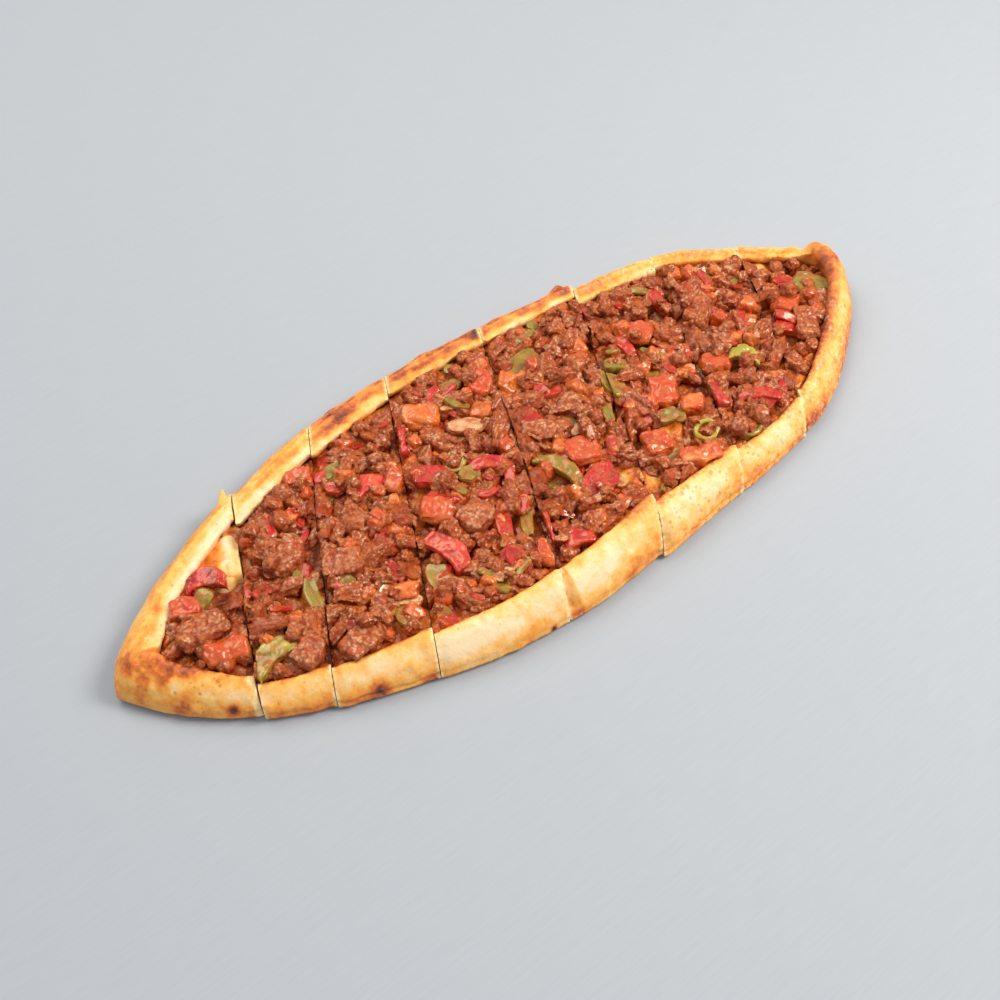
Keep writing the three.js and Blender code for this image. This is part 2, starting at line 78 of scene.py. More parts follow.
# Where the sauce ran thin over the dough, between the dice: x, y and reach.
THIN_SAUCE = (
    (52, -47, 8), (56, -36, 5), (164, -20, 7), (158, -32, 6.5), (22, -47, 4.5), (33, -53, 4.5),
    (-14, 24, 7), (17, -29, 5), (-92, -38, 5), (172, 14, 5), (118, -2, 4),
)
DICE_PITCH = 13.6
DICE_ROW = 0.87
DICE_SPREAD = 6
DICE_TOP = 21.5
CREST_LEAST = 2.2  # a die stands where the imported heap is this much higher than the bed
# Least and greatest length and width of the dice, mm: squarer on the left, strips on the right.
SQUARE_DICE = ((13, 21), (9, 13))
LONG_DICE = ((15, 26), (7, 11))
LONG_DICE_FROM = 6  # the first slice with strips
DICE_DEPTHS = (8.5, 11.5)
DIE_MIDDLE = 0.42  # how far a die's middle lies under its top, as a share of its depth
DIE_OVERHANG = 7  # a die counts for a slice up to this far past the knife
# The smaller dice between the others, and the height of their middles.
FILLER_LENGTHS = (7, 13)
FILLER_WIDTHS = (6, 9)
FILLER_DEPTH = 7
FILLER_MIDDLES = (12.4, 14.8)
FILLER_ROOM = 2.5  # nearer than this to the dough there are none
BELOW_RIM = 2.5  # dice that reach over the rim are pressed this far under its top
RIM_LEAST = 13.5  # dough that is lower than this is no rim
SCATTER_REACH = 74  # scraps are scattered within this of the boat's long axis
SCATTER_TOP = 18.5  # and where the heaps are no higher than this
SLICE_LEAN = 0.5  # x over y along a slice, about the mean of its cuts
# The meat's fibres, length and thickness: bundles, as a single fibre is too fine to show.
FIBRE = (5.5, 1.5)
# Size of the faces that a piece is remeshed to, mm, and the rounds of smoothing after it.
CRUST_MESH = (1.0, 7)
SAUCE_MESH = (1.2, 3)
STANDOUT_FACES = 0.65

# The smaller pieces in the heaps: kind, x, y, length, width, height and turn.
SMALL_PIECES = (
    ("red_pepper", -147, 11, 14, 8, 4.5, -35), ("green_pepper", -122, -11, 17, 7, 4.5, 74),
    ("red_pepper", -80, 44, 17, 7, 4.5, 12), ("green_pepper", -96, -46, 16, 7, 4.5, 62),
    ("tomato", -90, -34, 11, 9, 7, -30), ("red_pepper", -45, 10, 16, 8, 4.5, -36),
    ("green_pepper", -75, -37, 14, 6, 4.5, 80), ("red_pepper", -83, -53, 13, 6, 4.5, -85),
    ("red_pepper", -35, -31, 19, 6, 4.5, 58), ("tomato", -1, 27, 11, 10, 7, 40),
    ("green_pepper", 6, 55, 17, 6, 4.5, -84), ("tomato", 20, 34, 13, 10, 7, 50),
    ("green_pepper", 33, 38, 18, 7, 4.5, 8), ("red_pepper", 12, -42, 20, 6.5, 4.5, 17),
    ("green_pepper", -27, -38, 14, 6, 4.5, 58), ("green_pepper", 42, -14, 13, 6, 4.5, 60),
    ("red_pepper", 138, -6, 13, 9, 4.5, 60), ("red_pepper", 173, -1, 11, 9, 4.5, -40),
    ("green_pepper", 181, -13, 18, 6, 4.5, -70), ("green_pepper", 57, 0, 14, 6, 4.5, 70),
    ("green_pepper", -1.5, -28, 12, 5, 4.5, 62), ("green_pepper", 111, -30, 16, 5, 4.5, 5),
    ("onion", -13, 24, 17, 7, 4, -35), ("onion", 19, -28, 12, 9, 4, 30),
    ("onion", -91, -38, 11, 7, 4, -40), ("onion", 23, -47, 11, 7, 4, 20),
    ("onion", 33, -52, 10, 7, 4, 5), ("onion", 55, -38, 10, 7, 4, 40),
    ("onion", 53, -48, 14, 10, 4, 10), ("onion", 157, -33, 15, 8, 4, 60),
    ("onion", 165, -21, 14, 10, 4, 20),
)


def mm(length):
    return length / 1000


def chance(n, k):
    """A repeatable number from 0 to 1 for item n and use k."""
    s = math.sin(n * 12.9898 + k * 78.233) * 43758.5453
    return s - math.floor(s)


def between(low, high, n, k):
    return low + (high - low) * chance(n, k)


def smooth(value, low, high):
    """0 below low, 1 above high, and an even rise between."""
    share = min(max((value - low) / (high - low), 0), 1)
    return share * share * (3 - 2 * share)


def hump(value, middle, reach):
    """1 at the middle, falling away to nothing on both sides."""
    away = (value - middle) / reach
    return math.exp(-away * away)


def mix(first, second, share):
    return first + (second - first) * share


def slice_matrix(number):
    """Takes a layout point, in metres, to where the knife left it."""
    left = CUTS[number - 2][0] if number > 1 else -LENGTH / 2
    right = CUTS[number - 1][0] if number < SLICES else LENGTH / 2
    middle = (left + right) / 2
    lean = math.radians(CUTS[min(number, SLICES - 1) - 1][1])
    slide, slip = SLIDES[number - 1]
    x = middle + slide + slip * math.sin(lean) - MIDDLE[0]
    y = slip * math.cos(lean) - MIDDLE[1]
    turn = Matrix.Rotation(math.radians(SLICE_TURN), 4, "Z")
    return Matrix.Translation((mm(x), mm(y), 0)) @ turn @ Matrix.Translation((mm(-middle), 0, 0))


def cut_x(cut, y):
    """Where a cut crosses the layout at y; the ends of the boat count as cuts."""
    if cut < 0 or cut >= len(CUTS):
        return -LENGTH / 2 if cut < 0 else LENGTH / 2
    x, lean = CUTS[cut]
    return x + math.tan(math.radians(lean)) * y


def cut_face(number, cut, side):
    """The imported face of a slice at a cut, as a point on it and its outward direction. The side is
    -1 at the slice's left end and 1 at its right."""
    place = slice_matrix(number)
    x, lean = CUTS[cut]
    lean = math.radians(lean)
    out = side * Vector((math.cos(lean), -math.sin(lean), 0))
    point = Vector((mm(x), 0, 0)) - out * mm(KERF / 2)
    return place @ point, (place.to_3x3() @ out).normalized()


def packed_faces(number):
    ends = ((number - 2, -1), (number - 1, 1))
    return [cut_face(number, cut, side) for cut, side in ends if 0 <= cut < len(CUTS)]


def joint_faces(number, openness=1.0):
    """The faces that the dressed slice has at its cuts. Soft dough and sauce closed up again after
    the knife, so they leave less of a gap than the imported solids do."""
    faces = []
    for cut, side in ((number - 2, -1), (number - 1, 1)):
        if 0 <= cut < len(CUTS):
            start, out = cut_face(number, cut, side)
            across, _ = cut_face(number + side, cut, -side)
            swell = ((across - start).dot(out) - mm(JOINT_GAPS[cut] * openness)) / 2
            faces.append((start + out * swell, out))
    return faces


def close_joint(place, moved, packed, faces):
    """Corrects a point's move so that, if it lay on a packed face, it comes to the dressed one."""
    for (start, out), (face, _) in zip(packed, faces):
        if (place - start).dot(out) > mm(-0.8):
            moved -= out * (moved.dot(out) + (place - face).dot(out))
    return moved


def cut_depth(point, planes):
    """How far inside the nearest knife face a point is."""
    return min((-(point - start).dot(out) for start, out in planes), default=1)


# ---- Modelling ----


def deselect():
    if bpy.context.object and bpy.context.object.mode != "OBJECT":
        bpy.ops.object.mode_set(mode="OBJECT")
    bpy.ops.object.select_all(action="DESELECT")


def choose(*pieces):
    """Selects these pieces alone, and makes the first one active."""
    deselect()
    for piece in pieces:
        piece.select_set(True)
    bpy.context.view_layer.objects.active = pieces[0]


def edit(piece, *steps):
    """Runs edit-mode operators on the whole mesh of a piece, each with its settings."""
    choose(piece)
    bpy.ops.object.mode_set(mode="EDIT")
    bpy.ops.mesh.select_all(action="SELECT")
    for operator, settings in steps:
        operator(**settings)
    bpy.ops.object.mode_set(mode="OBJECT")


def modify(piece, kind, **settings):
    """Adds a modifier and applies it."""
    choose(piece)
    modifier = piece.modifiers.new(kind.title(), kind)
    for name, value in settings.items():
        setattr(modifier, name, value)
    bpy.ops.object.modifier_apply(modifier=modifier.name)


def copy_of_node(node_name, name):
    """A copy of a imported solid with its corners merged, to be shaped further."""
    piece = bpy.data.objects.new(name, nodes[node_name].data.copy())
    piece.data.name = name
    piece.data.materials.clear()
    bpy.context.scene.collection.objects.link(piece)
    edit(piece, (bpy.ops.mesh.remove_doubles, {"threshold": mm(0.002)}))
    return piece


def even_mesh(piece, grain, rounding):
    """Gives a piece even small faces, and eases its edges."""
    modify(piece, "REMESH", mode="VOXEL", voxel_size=mm(grain), use_smooth_shade=True)
    modify(piece, "SMOOTH", factor=0.5, iterations=rounding)


def shift_points(piece, shift):
    """Moves each point of a mesh by what shift gives for its place and its normal."""
    mesh = piece.data
    places = [vertex.co.copy() for vertex in mesh.vertices]
    normals = [vertex.normal.copy() for vertex in mesh.vertices]
    moved = [place + shift(place, normal) for place, normal in zip(places, normals)]
    mesh.vertices.foreach_set("co", [number for place in moved for number in place])
    mesh.update()


def paint(piece, name, value):
    """Writes a number on each point of a mesh, for the materials to read."""
    mesh = piece.data
    values = [value(vertex.co, vertex.normal) for vertex in mesh.vertices]
    attribute = mesh.attributes.get(name) or mesh.attributes.new(name, "FLOAT", "POINT")
    attribute.data.foreach_set("value", values)


def ripple(place, size, seed=0.0):
    """Noise from -1 to 1, with swells of a size in millimetres."""
    return noise.noise(place * (1000 / size) + Vector((seed, 0.7 * seed, -seed)))


def joined(pieces, name):
    """Joins pieces into one, which takes the name."""
    choose(*pieces)
    if len(pieces) > 1:
        bpy.ops.object.join()
    piece = bpy.context.object
    piece.name = piece.data.name = name
    return piece


def stamp(master, name, place):
    """A copy of a modelled shape with its own mesh, set in place."""
    piece = bpy.data.objects.new(name, master.data.copy())
    bpy.context.scene.collection.objects.link(piece)
    piece.data.transform(place)
    return piece


def block(name, cuts):
    """A cube of unit size over the origin, with its faces divided."""
    deselect()
    bpy.ops.mesh.primitive_cube_add(size=1)
    piece = bpy.context.object
    piece.name = piece.data.name = name
    edit(piece, (bpy.ops.mesh.subdivide, {"number_cuts": cuts}))
    return piece


def turn_outwards(piece):
    edit(piece, (bpy.ops.mesh.normals_make_consistent, {"inside": False}))


def crease_at(place):
    """How near a place is to a winding line: 1 on it, and nothing well away."""
    return max(1 - abs(noise.noise(place)) * 5, 0)


def trimmed(piece, planes):
    """Cuts a piece off at the knife's faces, and closes it there."""
    for start, out in planes:
        knife = {"plane_co": start, "plane_no": out, "use_fill": True, "clear_outer": True}
        edit(piece, (bpy.ops.mesh.bisect, {**knife, "threshold": mm(0.001)}))


def surface_of(*pieces):
    """The surface of some pieces, to be felt for its height."""
    places, faces = [], []
    for piece in pieces:
        first = len(places)
        places += [vertex.co.copy() for vertex in piece.data.vertices]
        faces += [[first + i for i in face.vertices] for face in piece.data.polygons]
    return BVHTree.FromPolygons(places, faces)


def height_at(surface, place):
    """A surface's height at a place, or None beside it."""
    hit = surface.ray_cast(Vector((place.x, place.y, 1)), Vector((0, 0, -1)))[0]
    return hit.z if hit else None


def write_grain(piece, upright, n):
    """Writes the place that fibres follow: long along the piece and fine across it."""
    attribute = piece.data.attributes.new("grain_place", "FLOAT_VECTOR", "POINT")
    values = []
    for vertex in piece.data.vertices:
        here = upright @ vertex.co * 1000
        values += [here.x / FIBRE[0] + 3.1 * n, here.y / FIBRE[1], here.z / FIBRE[1]]
    attribute.data.foreach_set("vector", values)


def give_tone(piece, tone):
    """Sets how brown or ripe a whole piece came out."""
    paint(piece, "tone", lambda place, normal: tone)


def finish_piece(piece, material, slot, *nodes):
    """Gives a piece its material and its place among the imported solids."""
    piece.data.materials.clear()
    piece.data.materials.append(material)
    # How much a point faces up; the meat's material darkens the faces that do not, as painted shade.
    paint(piece, "top", lambda place, normal: smooth(normal.z, 0.15, 0.95))
    choose(piece)
    bpy.ops.object.shade_smooth_by_angle(angle=math.radians(50))
    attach(piece, "root")
    if nodes:
        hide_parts(*nodes)


# ---- Materials ----

# Pattern scales are 1000 over a size in millimetres. A MapRange maps its inputs 1 to 2 onto 3 to 4,
# and a Mix has its share at input 0 and its two colours at 6 and 7.


def colour(code):
    """An sRGB hex colour as linear red, green, blue and alpha."""
    parts = [int(code[i : i + 2], 16) / 255 for i in (1, 3, 5)]
    linear = [((p + 0.055) / 1.055) ** 2.4 if p > 0.04045 else p / 12.92 for p in parts]
    return (*linear, 1)


def add(tree, kind, links=(), out=0, stops=(), **settings):
    """Adds a shader node with its settings, and gives one of its sockets. Links are its inputs by
    name or number, each a value or another node's socket, and stops are a ramp's colours."""
    made = tree.nodes.new("ShaderNode" + kind)
    for name, value in settings.items():
        setattr(made, name, value)
    for key, value in dict(links).items():
        if isinstance(value, bpy.types.NodeSocket):
            tree.links.new(value, made.inputs[key])
        else:
            made.inputs[key].default_value = value
    for i, (place, code) in enumerate(stops):
        mark = made.color_ramp.elements[i] if i < 2 else made.color_ramp.elements.new(place)
        mark.position = place
        mark.color = colour(code)
    return made.outputs[out] if made.outputs else None


def new_material(name):
    """A material with an empty node tree, and the texture places on its piece."""
    material = bpy.data.materials.new(name)
    material.use_nodes = True
    tree = material.node_tree
    tree.nodes.clear()
    return material, tree, add(tree, "TexCoord", out="Object")


def layered(tree, shade, layers):
    """Lays colours over a shade. A layer is a mask, where it begins and where it is full, how much
    it covers there, and its colour or another shade."""
    for mask, start, full, cover, over in layers:
        mask = add(tree, "MapRange", {"Value": mask, 1: start, 2: full, 3: 0.0, 4: cover})
        over = colour(over) if isinstance(over, str) else over
        shade = add(tree, "Mix", {0: mask, 6: shade, 7: over}, out=2, data_type="RGBA")
    return shade


def finish_material(tree, relief, depth, strength, glow, inputs):
    """Ends a material with its relief, a depth in millimetres, and its shader. Glow is how far red,
    green and blue light wander inside, in millimetres."""
    bump = add(tree, "Bump", {"Height": relief, "Distance": mm(depth), "Strength": strength})
    radius = [mm(reach) for reach in glow]
    moist = {"IOR": 1.45, "Subsurface Radius": radius, "Subsurface Scale": 1.0}
    shader = add(tree, "BsdfPrincipled", {**moist, **inputs, "Normal": bump})
    add(tree, "OutputMaterial", {"Surface": shader})


def baked_dough():
    """Oven-baked wheat dough: cream where it stayed soft, gold and brown where the oven caught it,
    freckled and floury, dull but for a faint sheen. Its cut faces are pale crumb. The browning it
    reads also holds painted shade, a painted highlight and painted reflected light."""
    material, tree, places = new_material("baked_wheat_dough")
    browning_and_shade, freckles, dusting, cut = (
        add(tree, "Attribute", attribute_name=name, out="Fac")
        for name in ("browning_and_shade", "freckles", "flour", "cut_face")
    )
    for size, reach in ((24, 0.2), (6, 0.12), (1.8, 0.08), (0.7, 0.05)):
        cloud = add(tree, "TexNoise", {"Vector": places, "Scale": 1000 / size, "Detail": 4})
        cloud = add(tree, "MapRange", {"Value": cloud, 1: 0.25, 2: 0.75, 3: -reach, 4: reach})
        browning_and_shade = add(tree, "Math", {0: browning_and_shade, 1: cloud}, operation="ADD")
    # These colours show browning, and painted light and shade where the browning attribute holds it.
    browned = (
        (0.0, "#F6DAB0"), (0.16, "#F7CA88"), (0.32, "#F6B85C"), (0.47, "#F09E3C"),
        (0.62, "#D8772E"), (0.77, "#A84E22"), (0.91, "#68301C"), (1.0, "#341E18"),
    )
    skin = add(tree, "ValToRGB", {"Fac": browning_and_shade}, stops=browned)
    crowding, powder, pores, fine, blisters = (
        add(tree, "TexNoise", {"Vector": places, "Scale": 1000 / size, "Detail": detail})
        for size, detail in ((9, 2), (2, 6), (2.4, 5), (1.8, 5), (6, 3))
    )
    wander = add(tree, "TexNoise", {"Vector": places, "Scale": 1000 / 1.5}, out="Color")
    wander = {0: wander, 1: (mm(1.2),) * 3, 2: places}
    wander = add(tree, "VectorMath", wander, operation="MULTIPLY_ADD")
    dots = add(tree, "TexVoronoi", {"Vector": wander, "Scale": 1000 / 2.6})
    sizes = add(tree, "SeparateColor", {"Color": dots.node.outputs["Color"]})
    reach = add(tree, "MapRange", {"Value": crowding, 1: 0.3, 2: 0.6, 3: 0.0, 4: 0.6})
    for share in (freckles, sizes):
        reach = add(tree, "Math", {0: reach, 1: share}, operation="MULTIPLY")
    dots = add(tree, "Math", {0: reach, 1: dots}, operation="SUBTRACT")
    flour = add(tree, "MapRange", {"Value": powder, 1: 0.5, 2: 0.72, 3: 0.0, 4: 0.8})
    flour = add(tree, "Math", {0: flour, 1: dusting}, operation="MULTIPLY")
    crumb = ((0.3, "#DC9A48"), (0.45, "#F6CF88"), (0.7, "#FEECC4"))
    crumb = add(tree, "ValToRGB", {"Fac": pores}, stops=crumb)
    layers = (
        (dots, -0.04, 0.1, 0.5, "#A85820"), (flour, 0.0, 1.0, 1.0, "#FBE0C8"),
        (cut, 0.0, 1.0, 1.0, crumb),
    )
    shade = layered(tree, skin, layers)
    relief = add(tree, "Math", {0: blisters, 1: 0.9, 2: fine}, operation="MULTIPLY_ADD")
    inputs = {"Base Color": shade, "Roughness": 0.5, "Subsurface Weight": 0.15}
    finish_material(tree, relief, 0.6, 0.5, (4, 2, 1), inputs)
    return material


def reduced_sauce():
    """Meat juice, tomato and oil cooked down with minced scraps: orange-brown, wet and lumpy,
    darker lower down between the dice, partly deeper sauce and partly painted shade, with drops of
    red oil, and yellow where it soaked the dough."""
    material, tree, places = new_material("reduced_tomato_sauce")
    thin = add(tree, "Attribute", attribute_name="thin", out="Fac")
    level = add(tree, "SeparateXYZ", {"Vector": places}, out="Z")
    cloud, oily = (
        add(tree, "TexNoise", {"Vector": places, "Scale": 1000 / size, "Detail": detail})
        for size, detail in ((7, 5), (22, 3))
    )
    deep, high, soaked = (
        add(tree, "ValToRGB", {"Fac": mask}, stops=stops)
        for mask, stops in (
            (cloud, ((0.3, "#5E1804"), (0.5, "#923408"), (0.7, "#B45818"))),
            (cloud, ((0.3, "#93390F"), (0.45, "#C45A1E"), (0.6, "#DA7C34"), (0.75, "#E8A866"))),
            (thin, ((0.3, "#D8741C"), (0.6, "#EC9E38"), (0.9, "#F2CC90"))),
        )
    )
    curds = {"Vector": places, "Scale": 1000 / 2.2, "Smoothness": 0.5}
    curds = add(tree, "TexVoronoi", curds, feature="SMOOTH_F1")
    # The lighter sauce is laid over the dark one by height; the dark low down is partly deeper sauce
    # and partly painted shade.
    layers = (
        (level, mm(11.4), mm(14.6), 1.0, high), (curds, 0.4, 0.14, 0.5, "#DE9A60"),
        (oily, 0.54, 0.66, 0.7, "#DC7A20"), (thin, 0.2, 0.5, 0.9, soaked),
    )
    shade = layered(tree, deep, layers)
    lumps = {"Scale": 1000 / 2.6, "Detail": 5, "Roughness": 0.65, "Distortion": 0.6}
    lumps = add(tree, "TexNoise", {"Vector": places, **lumps})
    lumps = add(tree, "Math", {0: curds, 1: -0.5, 2: lumps}, operation="MULTIPLY_ADD")
    inputs = {
        "Base Color": shade, "Roughness": 0.22, "Coat Weight": 0.4, "Coat Roughness": 0.1,
        "Specular Tint": colour("#FFD8BC"), "Subsurface Weight": 0.1,
    }
    finish_material(tree, lumps, 1.4, 1.0, (3, 1, 0.5), inputs)
    return material


def braised_meat():
    """Diced lamb, fried and braised: brown fibres that have curdled into pale grains, which also serve
    as painted highlights, with painted shade between them and on each piece's sides, glazed orange by
    fat and sauce, red-brown in the creases and underneath from pooled sauce and painted shade, and so
    rough and wet that it glints all over."""
    material, tree, places = new_material("braised_lamb")
    tone, top, sauce_and_shade, cut = (
        add(tree, "Attribute", attribute_name=name, out="Fac")
        for name in ("tone", "top", "sauce_and_shade", "cut_face")
    )
    strands = add(tree, "Attribute", attribute_name="grain_place", out="Vector")
    fibre = {"Scale": 1.0, "Detail": 5, "Roughness": 0.6, "Distortion": 0.5}
    fibre = add(tree, "TexNoise", {"Vector": strands, **fibre})
    tint, grained = (
        add(tree, "ValToRGB", {"Fac": mask}, stops=stops)
        for mask, stops in (
            (tone, (
                (0.0, "#A04A1E"), (0.3, "#B86028"), (0.55, "#C47640"), (0.8, "#D0926A"),
                (1.0, "#BE5E24"),
            )),
            (fibre, ((0.3, "#8A340C"), (0.45, "#BE642A"), (0.6, "#DC9862"), (0.72, "#F6D6BA"))),
        )
    )
    shade = add(tree, "Mix", {0: 0.5, 6: tint, 7: grained}, out=2, data_type="RGBA")
    wander = add(tree, "TexNoise", {"Vector": places, "Scale": 1000 / 3, "Detail": 2}, out="Color")
    wander = {0: wander, 1: (mm(2.4),) * 3, 2: places}
    wander = add(tree, "VectorMath", wander, operation="MULTIPLY_ADD")
    # The real grains are under a millimetre, too fine to show, so they are drawn coarser. Their pale
    # centres are partly painted highlight.
    curds = {"Vector": wander, "Scale": 1000 / 1.6, "Smoothness": 0.5}
    curds = add(tree, "TexVoronoi", curds, feature="SMOOTH_F1")
    patches, glaze, wet = (
        add(tree, "TexNoise", {"Vector": places, "Scale": 1000 / size, "Detail": detail})
        for size, detail in ((8, 3), (9, 5), (4, 3))
    )
    patches = add(tree, "MapRange", {"Value": patches, 1: 0.4, 2: 0.58, 3: 0.1, 4: 1.0})
    pale = add(tree, "MapRange", {"Value": curds, 1: 0.36, 2: 0.14, 3: 0.0, 4: 0.95})
    pale = add(tree, "Math", {0: pale, 1: patches}, operation="MULTIPLY")
    layers = (
        # Pale grain centres, partly grain colour and partly painted highlight; then painted shade in
        # the grooves between grains.
        (pale, 0.0, 1.0, 1.0, "#F2CEB4"), (curds, 0.42, 0.64, 0.7, "#963004"),
        # The sides darker than the tops: painted shade.
        (top, 0.75, 0.0, 0.65, "#943404"), (glaze, 0.5, 0.62, 0.65, "#C65E1C"),
        # Red paste, then darker in the creases and underneath: pooled sauce and painted shade.
        (glaze, 0.46, 0.36, 0.65, "#BE4416"), (sauce_and_shade, 0.1, 0.9, 0.85, "#942804"),
        (cut, 0.0, 1.0, 0.6, "#A25C3A"),
    )
    shade = layered(tree, shade, layers)
    pits = {"Scale": 1000 / 2.4, "Detail": 4, "Roughness": 0.72, "Distortion": 0.4}
    relief = add(tree, "TexNoise", {"Vector": places, **pits})
    curdled = add(tree, "Math", {0: curds, 1: patches}, operation="MULTIPLY")
    for rise, share in ((fibre, 0.7), (curdled, -0.45)):
        relief = add(tree, "Math", {0: rise, 1: share, 2: relief}, operation="MULTIPLY_ADD")
    wet = add(tree, "MapRange", {"Value": wet, 1: 0.35, 2: 0.65, 3: 0.15, 4: 0.4})
    inputs = {
        "Base Color": shade, "Roughness": wet, "Coat Weight": 0.4, "Coat Roughness": 0.12,
        "Specular Tint": colour("#FFD4B4"), "Subsurface Weight": 0.12,
    }
    finish_material(tree, relief, 1.6, 1.0, (3, 1, 0.5), inputs)
    return material


def cooked_flesh(name, flesh, pale, deep, other, skin, glow, film):
    """Vegetable flesh gone soft in the oven: wet, a little see-through, veined, with skin on one side,
    an orange film of sauce in places, darker in the creases and underneath from pooled sauce and
    painted shade, and some pieces riper than others."""
    material, tree, places = new_material(name)
    ripe, covered, sauce_and_shade = (
        add(tree, "Attribute", attribute_name=name, out="Fac")
        for name in ("tone", "skin", "sauce_and_shade")
    )
    cloud, veins, sauce, dents = (
        add(tree, "TexNoise", {"Vector": places, "Scale": 1000 / size, "Detail": detail, **rest})
        for size, detail, rest in (
            (7, 5, {"Distortion": 0.5}), (2.2, 5, {}), (5, 6, {"Roughness": 0.65}),
            (2.6, 5, {"Distortion": 0.5}),
        )
    )
    stops = ((0.32, deep), (0.48, flesh), (0.68, pale))
    shade = add(tree, "ValToRGB", {"Fac": cloud}, stops=stops)
    layers = (
        (ripe, 0.5, 0.8, 0.75, other), (veins, 0.54, 0.75, 0.4, pale),
        (covered, 0.0, 1.0, 0.8, skin), (sauce, 0.47, 0.57, film, "#C4622A"),
        # Darker in the creases and underneath: pooled sauce and painted shade.
        (sauce_and_shade, 0.15, 0.9, 0.85, "#8A300C"),
    )
    inputs = {
        "Base Color": layered(tree, shade, layers), "Roughness": 0.22, "Coat Weight": 0.8,
        "Coat Roughness": 0.1, "Specular Tint": colour("#FFE4D4"), "Subsurface Weight": glow,
    }
    finish_material(tree, dents, 1.1, 0.9, (5, 1.5, 0.8), inputs)
    return material


def matt_backdrop():
    """Painted board: an even pale grey with faint brush streaks and no gloss."""
    material, tree, places = new_material("matt_painted_board")
    streaks = add(tree, "Mapping", {"Vector": places, "Scale": (60, 900, 1)})
    streaks = add(tree, "TexNoise", {"Vector": streaks, "Scale": 1.0, "Detail": 2})
    stops = ((0.3, "#A6AFBA"), (0.7, "#A9B2BD"))
    shade = add(tree, "ValToRGB", {"Fac": streaks}, stops=stops)
    inputs = {"Base Color": shade, "Roughness": 0.9, "IOR": 1.5}
    finish_material(tree, streaks, 0.02, 0.1, (1, 1, 1), inputs)
    return material


# ---- Dough ----


def foot_line():
    """The outside of the boat's foot in the layout, in millimetres, round the whole pide."""
    points = []
    for number in range(1, SLICES + 1):
        to_layout = slice_matrix(number).inverted()
        for vertex in nodes[f"dough_slice_{number}"].data.vertices:
            place = to_layout @ vertex.co * 1000
            if abs(place.z - FOOT_HEIGHT) < 0.05:
                points.append((place.x, place.y))
    points.sort(key=lambda point: math.atan2(point[1] / WIDTH, point[0] / LENGTH))
    apart = [points[0]]
    for point in points[1:]:
        if math.dist(point, apart[-1]) > 0.5:
            apart.append(point)
    return apart


def foot_curtain():
    """An upright curtain on the foot line, to measure distances in from it."""
    line = foot_line()
    low = [Vector((x, y, -200)) for x, y in line]
    high = [Vector((x, y, 200)) for x, y in line]
    count = len(line)
    faces = [(i, (i + 1) % count, (i + 1) % count + count, i + count) for i in range(count)]
    return BVHTree.FromPolygons(low + high, faces)


class Wall:
    """Where a point of the dough lies: x, y and z in the layout, how far in from the foot as a share
    of the rim, the direction inwards, how much it belongs to the front flap, how far it is from the
    slice's ends, and how the creases of the roll and the fold of the flap wander there."""

    def __init__(self, number, place, to_layout, curtain):
        here = to_layout @ place * 1000
        self.x, self.y, self.z = here
        foot, _, _, inset = curtain.find_nearest(here)
        inwards = here - foot
        self.inwards = (to_layout.inverted().to_3x3() @ inwards).normalized()
        self.flap = smooth(-foot.y, -20, 20)
        left, right = cut_x(number - 2, foot.y), cut_x(number - 1, foot.y)
        along = min(max((foot.x - left) / (right - left), 0), 1)
        self.from_left, self.from_right = foot.x - left, right - foot.x
        front = mix(*FRONT_RIMS[number - 1], along)
        back = mix(*BACK_RIMS[number - 1], along)
        self.share = inset / mix(back, front, self.flap)
        self.bend = 0.05 * ripple(place, 26, 14) + 0.02 * ripple(place, 9, 15)
        self.fold_height = 4.8 + 1.2 * ripple(place, 24, 17)


# For each slice: how deep its flap sinks beside the knife at its left end, how far and how much
# painted shade darkens that end, how deep the fold above its foot is, and how deep the second
# crease of the back roll is.
LEFT_DIP = (0, 0.3, 0.5, 1.0, 3.2, 2.8, 2.2, 2.0)
# The darkening of the sunken left ends is painted shade.
LEFT_END_SHADE = (
    (1, 0), (1, 0), (1, 0), (3, 0.1), (8, 0.3), (2.5, 0.16), (2.5, 0.14), (4.5, 0.14)
)
FOOT_FOLD = (0.2, 0.3, 0.7, 0.3, 0.4, 1.0, 0.9, 0.6)
SECOND_CREASE = (0.4, 0.5, 1.0, 0.9, 1.0, 0.5, 0.4, 0.3)


# Where the knife dragged the dough up: layout x and y, reach and rise.
TORN_EDGES = ((77, 66, 5, 1.6), (81, 67, 2, 1.6), (127, 49, 3, 1.2))
# Where the right rim laps over the back roll: the top of the knot, and the crease beside it.
KNOT = (200, 3)
KNOT_CREASE = ((197.5, 8), (190, -6))


def crease(wall, ends, reach):
    """How near a point is to a crease between two ends: 1 on it, and nothing well away."""
    here, start = Vector((wall.x, wall.y)), Vector(ends[0])
    run = Vector(ends[1]) - start
    share = min(max((here - start).dot(run) / run.length_squared, 0), 1)
    return hump((here - start - run * share).length, 0, reach)


